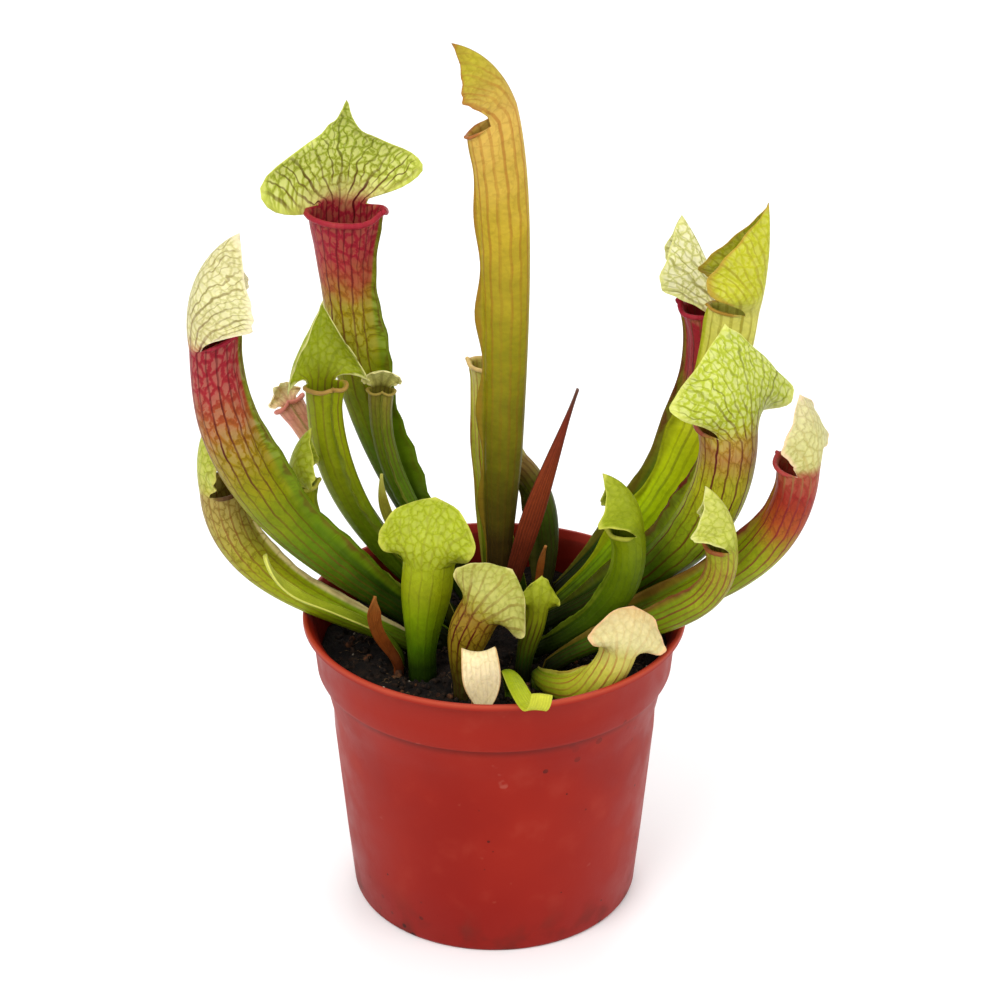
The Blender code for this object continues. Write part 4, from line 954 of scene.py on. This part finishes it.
def leaf_material(name, look):
    """Tissue, areoles, net and veins that follow a leaf's own coordinates."""
    n = Nodes(name, roughness=0.42, specular=0.1, subsurface=0.1, scatter=0.002)
    along, margin, _ = n.split(n.attribute("place"))
    inside, lip, wing = n.split(n.attribute("kind"))
    vein, gap, _ = n.split(n.attribute("vein"))
    flat = n.attribute("flat")
    x, y, _ = n.split(flat)
    broad = n.math('SUBTRACT', n.noise(flat, 0.13, 2.0), 0.5)
    small = n.math('SUBTRACT', n.noise(flat, 0.7), 0.5)
    place = n.math('MULTIPLY_ADD', along, 0.5, n.times(broad, 0.06))

    def layer(key):
        return n.ramp(place, stops(look[key]))

    net, areole = leaf_net(n, x, y, along, small)
    lines = leaf_veins(n, vein, gap, along, broad)
    dark = layer("vein")
    colour = n.mix(n.times(n.step(wing, 0.1, 0.5), 0.8), layer("tissue"), srgb(look["wing"]))
    paler = n.times(areole, n.step(along, 0.9, 1.15, 0.35, 0.75))
    colour = n.mix(n.times(paler, layer("pale")), colour, srgb(look["pale_colour"]))
    shaded = n.mix(0.45, n.mix(1.0, colour, (0.52, 0.6, 0.3), 'MULTIPLY'), dark)
    colour = n.mix(n.times(net, layer("net")), colour, shaded)
    colour = n.mix(n.times(lines, layer("veins")), colour, dark)
    colour = n.mix(n.times(n.step(margin, 0.86, 1.0), 0.75), colour, srgb(look["margin"]))
    if "throat" in look:
        in_tube = n.times(inside, n.step(along, 0.8, 1.02, 1.0, 0.0))
        colour = n.mix(n.times(in_tube, 0.85), colour, srgb(look["throat"]))
    colour = n.mix(n.times(lip, 0.9), colour, srgb(look["lip"]))
    shade = n.step(n.plus(small, n.times(broad, 0.8)), -0.45, 0.45, 0.84, 1.12)
    n.set("Base Color", n.mix(1.0, colour, n.join(shade, shade, shade), 'MULTIPLY'))
    n.set("Subsurface Radius", (0.6, 0.8, 0.2))
    height = n.plus(n.times(lines, 0.6), n.times(net, 0.25))
    n.bump(n.plus(height, n.times(n.noise(flat, 3.0, 2.0), 0.25)), 0.00025, 0.6)
    return n.material


def add_leaves():
    materials = {}
    for leaf in LEAVES:
        look = LOOKS[leaf.look]
        if leaf.look not in materials:
            materials[leaf.look] = leaf_material(f"leaf_{leaf.look}", look)
        piece = leaf.skin().object(f"fine_{leaf.name}", materials[leaf.look])
        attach(piece, "root")
        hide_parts(leaf.name)


# ---------------------------------------------------------------- pot
POT_WALL = 1.2
POT_FLOOR = 1.8
POT_OUTSIDE = [(45.2, 0.0), (45.8, 1.6), (47.7, 21.0), (51.0, 59.0), (51.2, 66.0), (51.9, 69.0),
               (53.0, 74.0), (53.8, 78.0), (54.2, 78.9), (55.4, 79.4), (55.9, 80.6), (56.4, 86.0),
               (57.0, 94.0), (57.6, 95.8)]
POT_HEIGHT = 98.0
RIM_RADIUS = 60.0
RIM_BREADTH = 1.8
RIM_THICKNESS = 1.8
POT_STEPS = 160
DRAIN_HOLES = 8
DRAIN_RADIUS = 4.0
DRAIN_CIRCLE = 33.0


def inner_wall(outside):
    """The inside of the wall, for a run of points of its outside."""
    return [(r - POT_WALL, z + 0.3 * POT_WALL) for r, z in outside]


def inner_radius(z):
    radii, heights = zip(*inner_wall(POT_OUTSIDE))
    return float(np.interp(z, heights, radii))


def rounded(profile, corners):
    """A profile whose numbered corners are rounded, each as far as its reach."""
    points = []
    for k, point in enumerate(profile):
        if k not in corners:
            points.append(point)
            continue
        here = np.array(point)
        a, b = (here + unit(np.array(profile[i]) - here) * corners[k] for i in (k - 1, k + 1))
        points += [tuple((1 - t) ** 2 * a + 2 * (1 - t) * t * here + t ** 2 * b)
                   for t in np.linspace(0, 1, 5)]
    return points


def pot_profile():
    """Radii and heights from the middle of the floor, up the inside, over the rim and down outside."""
    inside = [(POT_OUTSIDE[1][0] - POT_WALL, POT_FLOOR), *inner_wall(POT_OUTSIDE[2:-1])]
    rim_inside = RIM_RADIUS - RIM_BREADTH
    rim = [(rim_inside, POT_HEIGHT - 0.4), (rim_inside + 0.5, POT_HEIGHT), (RIM_RADIUS, POT_HEIGHT),
           (RIM_RADIUS, POT_HEIGHT - RIM_THICKNESS + 0.2)]
    profile = [(0.0, POT_FLOOR), *inside, *rim, *POT_OUTSIDE[::-1], (0.0, 0.0)]
    floor, top, foot = 1, len(inside) + 3, len(profile) - 2
    return rounded(profile, {floor: 1.0, top: 0.6, foot: 0.8})


def circle(r, z, steps):
    """Points at a radius and a height, all round the upright axis."""
    angles = 2 * pi * np.arange(steps) / steps
    return np.array([(r * cos(a), r * sin(a), z) for a in angles])


def turned(profile, steps):
    """A profile turned round the upright axis; a radius of 0 is a single point."""
    surface = Surface()
    rows = []
    for r, z in profile:
        numbers = surface.grid(circle(r, z, steps if r > 0 else 1))
        rows.append(np.resize(numbers, steps))
    for a, b in zip(rows, rows[1:]):
        for i in range(steps):
            j = (i + 1) % steps
            surface.faces.append(list(dict.fromkeys((a[i], b[i], b[j], a[j]))))
    return surface


def drill(obj, places, radius, depth):
    """Round holes down through the bottom."""
    bm = bmesh.new()
    for x, y in places:
        made = bmesh.ops.create_cone(bm, cap_ends=True, segments=32, radius1=radius * MM, radius2=radius * MM,
                                     depth=2 * depth * MM)
        bmesh.ops.translate(bm, verts=made["verts"], vec=(x * MM, y * MM, 0))
    mesh = bpy.data.meshes.new("drill")
    bm.to_mesh(mesh)
    bm.free()
    cutter = linked("drill", mesh)
    boolean = obj.modifiers.new("drill", 'BOOLEAN')
    boolean.operation, boolean.solver, boolean.object = 'DIFFERENCE', 'EXACT', cutter
    bpy.context.view_layer.update()
    done = bpy.data.meshes.new_from_object(obj.evaluated_get(bpy.context.evaluated_depsgraph_get()))
    obj.modifiers.clear()
    obj.data = done
    bpy.data.objects.remove(cutter, do_unlink=True)


def plastic_material():
    """Terracotta-red plastic, paler on its collar and dirty at the foot; it measures in metres."""
    n = Nodes("pot_plastic", roughness=0.4, specular=0.1, subsurface=0.03, scatter=0.002)
    where = n.place()
    x, y, height = n.split(where)
    radius = n.math('SQRT', n.plus(n.times(x, x), n.times(y, y)))
    slant = n.math('MULTIPLY_ADD', height, -0.1, radius)
    broad = n.noise(where, 22.0)
    cloudy = n.noise(where, 90.0, 4.0)
    collar_shade = n.times(n.step(height, 0.0755, 0.0787), n.step(height, 0.079, 0.0797, 1.0, 0.0))
    # painted highlight: a paler band along the rim's outer top edge
    painted_rim_highlight = n.times(n.step(radius, 0.0585, 0.0598), n.step(height, 0.0965, 0.0978))
    wall_shade = n.times(n.step(slant, 0.047, 0.0475, 1.0, 0.0), n.step(height, 0.081, 0.082))
    near_foot = n.step(height, 0.0, 0.02, 0.9, 0.0)
    near_collar = n.times(n.step(height, 0.064, 0.072), n.step(height, 0.08, 0.088, 1.0, 0.0))
    size = n.plus(n.times(n.math('MAXIMUM', near_foot, near_collar), 0.16), 0.10)
    size = n.times(size, n.step(n.split(n.cells(where, 70.0)["Color"])[0], 0.55, 0.95))
    speck = n.math('LESS_THAN', n.cells(where, 210.0)["Distance"], size)
    layers = (                   # where each lies, how strongly, and its colour
        (n.step(height, 0.004, 0.05, 1.0, 0.0), 0.45, (130, 16, 10)),
        (n.step(height, 0.075, 0.1), 0.5, (140, 34, 22)),
        (n.step(cloudy, 0.52, 0.75), 0.1, (180, 84, 66)),
        (collar_shade, 0.5, (76, 12, 6)),
        # the painted highlight along the rim
        (painted_rim_highlight, 0.35, (206, 96, 66)),
        (wall_shade, 0.45, (60, 14, 8)),
        (n.times(speck, n.step(broad, 0.40, 0.55, 0.15, 1.0)), 0.85, (36, 16, 12)),
        (n.step(n.noise(where, 160.0, 2.0), 0.72, 0.8), 0.15, (206, 140, 122)),
        (n.times(near_foot, n.step(cloudy, 0.45, 0.7)), 0.6, (60, 22, 16)),
    )
    red = n.mix(n.step(broad, 0.35, 0.65), srgb((132, 22, 10)), srgb((142, 29, 15)))
    for place, strength, colour in layers:
        red = n.mix(n.times(place, strength), red, srgb(colour))
    n.set("Base Color", red)
    n.set("Roughness", n.step(cloudy, 0.3, 0.7, 0.36, 0.52))
    n.set("Subsurface Radius", (1.0, 0.3, 0.2))
    n.bump(n.plus(n.times(n.noise(where, 900.0, 2.0), 0.3), broad), 0.0002, 0.35)
    return n.material


def add_pot():
    pot = turned(pot_profile(), POT_STEPS).object("fine_pot", plastic_material())
    angles = 2 * pi * (np.arange(DRAIN_HOLES) + 0.5) / DRAIN_HOLES
    drill(pot, [(DRAIN_CIRCLE * cos(a), DRAIN_CIRCLE * sin(a)) for a in angles], DRAIN_RADIUS, POT_FLOOR + 2)
    pot.data.shade_smooth()
    pot.data.set_sharp_from_angle(angle=radians(35))
    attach(pot, "root")
    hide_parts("pot")


# ---------------------------------------------------------------- soil
SOIL_TOP = 84.0
SOIL_GAP = 0.35
SOIL_UNDER_LEAF = 1.4
SOIL_BANK = 0.7                  # slope of the soil beside a leaf that lies low
SOIL_STEPS = 220
SOIL_RINGS = 70
SOIL_WALL_HEIGHTS = (POT_FLOOR + SOIL_GAP, 21.4, 59.4, 66.4, 74.4, 79.2, 80.8)
CRUMBS = {                       # how many, their sizes, and their dark and light colours
    "peat_crumbs": (900, (0.4, 1.7), (12, 8, 6), (46, 32, 22)),
    "bark_chips": (70, (0.8, 2.2), (40, 22, 12), (92, 56, 32)),
    "pale_grains": (34, (0.25, 0.7), (120, 110, 96), (190, 180, 160)),
}
FIBRES = 130
FIBRE_STEPS = 12
FIBRE_STEP = 0.9


def low_points():
    """Places and radii of the leaves' lower halves, where they come near the soil."""
    shares = np.linspace(0, 0.5, 24)
    points = [(leaf.frames([v])[0][0], leaf.reach(v)) for leaf in LEAVES for v in shares]
    return [(place, radius) for place, radius in points if place[2] - radius < SOIL_TOP + 14]


LOW_POINTS = low_points()


def soil_height(x, y):
    """Lumpy peat, pressed down where a leaf leans low over it."""
    lumps = np.sin(0.23 * x + 1.3) * np.cos(0.19 * y)
    lumps = lumps + 0.6 * np.sin(0.41 * y - 0.17 * x) + 0.4 * np.cos(0.53 * x + 0.31 * y)
    rough = 0.35 * np.sin(1.7 * x + 0.9 * y) * np.cos(1.3 * y - 0.6 * x) + 0.2 * np.sin(3.1 * x - 2.3 * y)
    limit = np.full(np.shape(x), 200.0)
    for place, radius in LOW_POINTS:
        away = np.hypot(place[0] - x, place[1] - y) - radius
        limit = np.minimum(limit, place[2] - radius - SOIL_UNDER_LEAF + SOIL_BANK * np.maximum(away, 0))
    return np.minimum(SOIL_TOP + 0.7 * lumps + 0.5, limit + 0.4) + rough


def peat_material():
    n = Nodes("peat", roughness=0.95, specular=0.2)
    coarse = n.noise(n.place(), 300.0, 5.0, 0.7)
    fine = n.noise(n.place(), 1500.0, 4.0, 0.7)
    brown = n.mix(n.step(coarse, 0.4, 0.7), srgb((14, 10, 8)), srgb((40, 28, 20)))
    bits = n.times(n.step(fine, 0.66, 0.76), n.step(coarse, 0.5, 0.62))
    n.set("Base Color", n.mix(n.times(bits, 0.6), brown, srgb((104, 76, 50))))
    n.bump(n.plus(coarse, n.times(fine, 0.5)), 0.0012)
    return n.material


def grainy_material(name, dark, light, roughness=0.95):
    n = Nodes(name, roughness=roughness, specular=0.2)
    n.set("Base Color", n.mix(n.step(n.noise(n.place(), 700.0, 4.0), 0.4, 0.65), srgb(dark), srgb(light)))
    n.bump(n.noise(n.place(), 1600.0), 0.0004, 0.8)
    return n.material


def add_soil(rng):
    rings = [circle(inner_radius(z) - SOIL_GAP, z, SOIL_STEPS) for z in SOIL_WALL_HEIGHTS]
    edge = inner_radius(SOIL_TOP - 2) - SOIL_GAP
    for k in range(SOIL_RINGS):
        x, y, _ = circle(edge * (1 - k / SOIL_RINGS), 0.0, SOIL_STEPS).T
        rings.append(np.stack([x, y, soil_height(x, y) + rng.normal(0, 0.12, SOIL_STEPS)], axis=1))
    surface = Surface()
    numbers = surface.grid(np.array(rings))
    surface.sheet(numbers, closed=True)
    ends = surface.grid(np.array([(0, 0, SOIL_WALL_HEIGHTS[0]), (0, 0, soil_height(0.0, 0.0))]))
    surface.close(numbers[0][::-1], ends[0])
    surface.close(numbers[-1], ends[1])
    soil = surface.object("fine_soil", peat_material())
    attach(soil, "root")
    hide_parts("soil")
    add_crumbs(rng)
    add_fibres(rng)


def on_soil(rng, count, reach=50.0):
    """Random places on the soil, within reach of its middle."""
    angle, r = rng.uniform(0, 2 * pi, count), reach * np.sqrt(rng.uniform(0.02, 1, count))
    x, y = r * np.cos(angle), r * np.sin(angle)
    return zip(x, y, soil_height(x, y))


def add_crumbs(rng):
    """Loose lumps of peat and a few pale grains."""
    bm = bmesh.new()
    bmesh.ops.create_icosphere(bm, subdivisions=1, radius=1.0)
    ball = np.array([v.co[:] for v in bm.verts])
    ball_faces = np.array([[v.index for v in f.verts] for f in bm.faces])
    bm.free()
    for name, (count, sizes, dark, light) in CRUMBS.items():
        surface = Surface()
        for x, y, z in on_soil(rng, count):
            size = rng.uniform(*sizes) * rng.uniform(0.6, 1.0, 3)
            turn = np.linalg.qr(rng.normal(size=(3, 3)))[0]
            lump = (ball * (1 + rng.uniform(-0.25, 0.25, (len(ball), 1))) * size) @ turn
            surface.faces += surface.grid(lump + (x, y, z + 0.1 * size.min()))[ball_faces].tolist()
        crumbs = surface.object(name, grainy_material(name, dark, light))
        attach(crumbs, "root")


def add_fibres(rng):
    """Thin dead roots and moss threads lying over the peat."""
    surface = Surface()
    for x, y, _ in on_soil(rng, FIBRES, 49.0):
        heading, bend = rng.uniform(0, 2 * pi), rng.normal(0, 0.25)
        line = []
        for _ in range(FIBRE_STEPS):
            heading += bend + rng.normal(0, 0.12)
            if np.hypot(x, y) > 50:
                break
            line.append((x, y, float(soil_height(x, y)) + 0.35 + rng.uniform(0, 0.5)))
            x, y = x + FIBRE_STEP * cos(heading), y + FIBRE_STEP * sin(heading)
        if len(line) >= 5:
            thread(surface, np.array(line), rng.uniform(0.06, 0.14))
    fibres = surface.object("dead_roots", grainy_material("dead_root", (40, 28, 18), (112, 88, 60)))
    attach(fibres, "root")


def thread(surface, line, radius, sides=4):
    """A thin tube along a line of points, narrower at its ends."""
    ways = unit(np.gradient(line, axis=0))
    across = unit(np.cross(ways, UP))
    up = np.cross(across, ways)
    from_end = np.minimum(np.arange(len(line)), np.arange(len(line))[::-1])
    radii = radius * np.minimum(1, 0.3 + from_end)[:, None]
    angles = 2 * pi * np.arange(sides) / sides
    numbers = surface.grid(np.array([line + radii * (cos(a) * across + sin(a) * up) for a in angles])).T
    surface.sheet(numbers, closed=True)
    surface.faces += [numbers[0], numbers[-1][::-1]]


def dress_rhizome():
    """The rhizome lies in the peat and keeps its own shape."""
    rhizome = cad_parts["rhizome"]
    material = grainy_material("rhizome_bark", (46, 24, 14), (110, 70, 40), 0.85)
    for slot in rhizome.material_slots:
        slot.material = material


# ---------------------------------------------------------------- the whole
bpy.context.scene.view_settings.view_transform = 'Standard'
add_camera()
add_lights()
add_floor()
add_leaves()
add_pot()
add_soil(np.random.default_rng(7))
dress_rhizome()
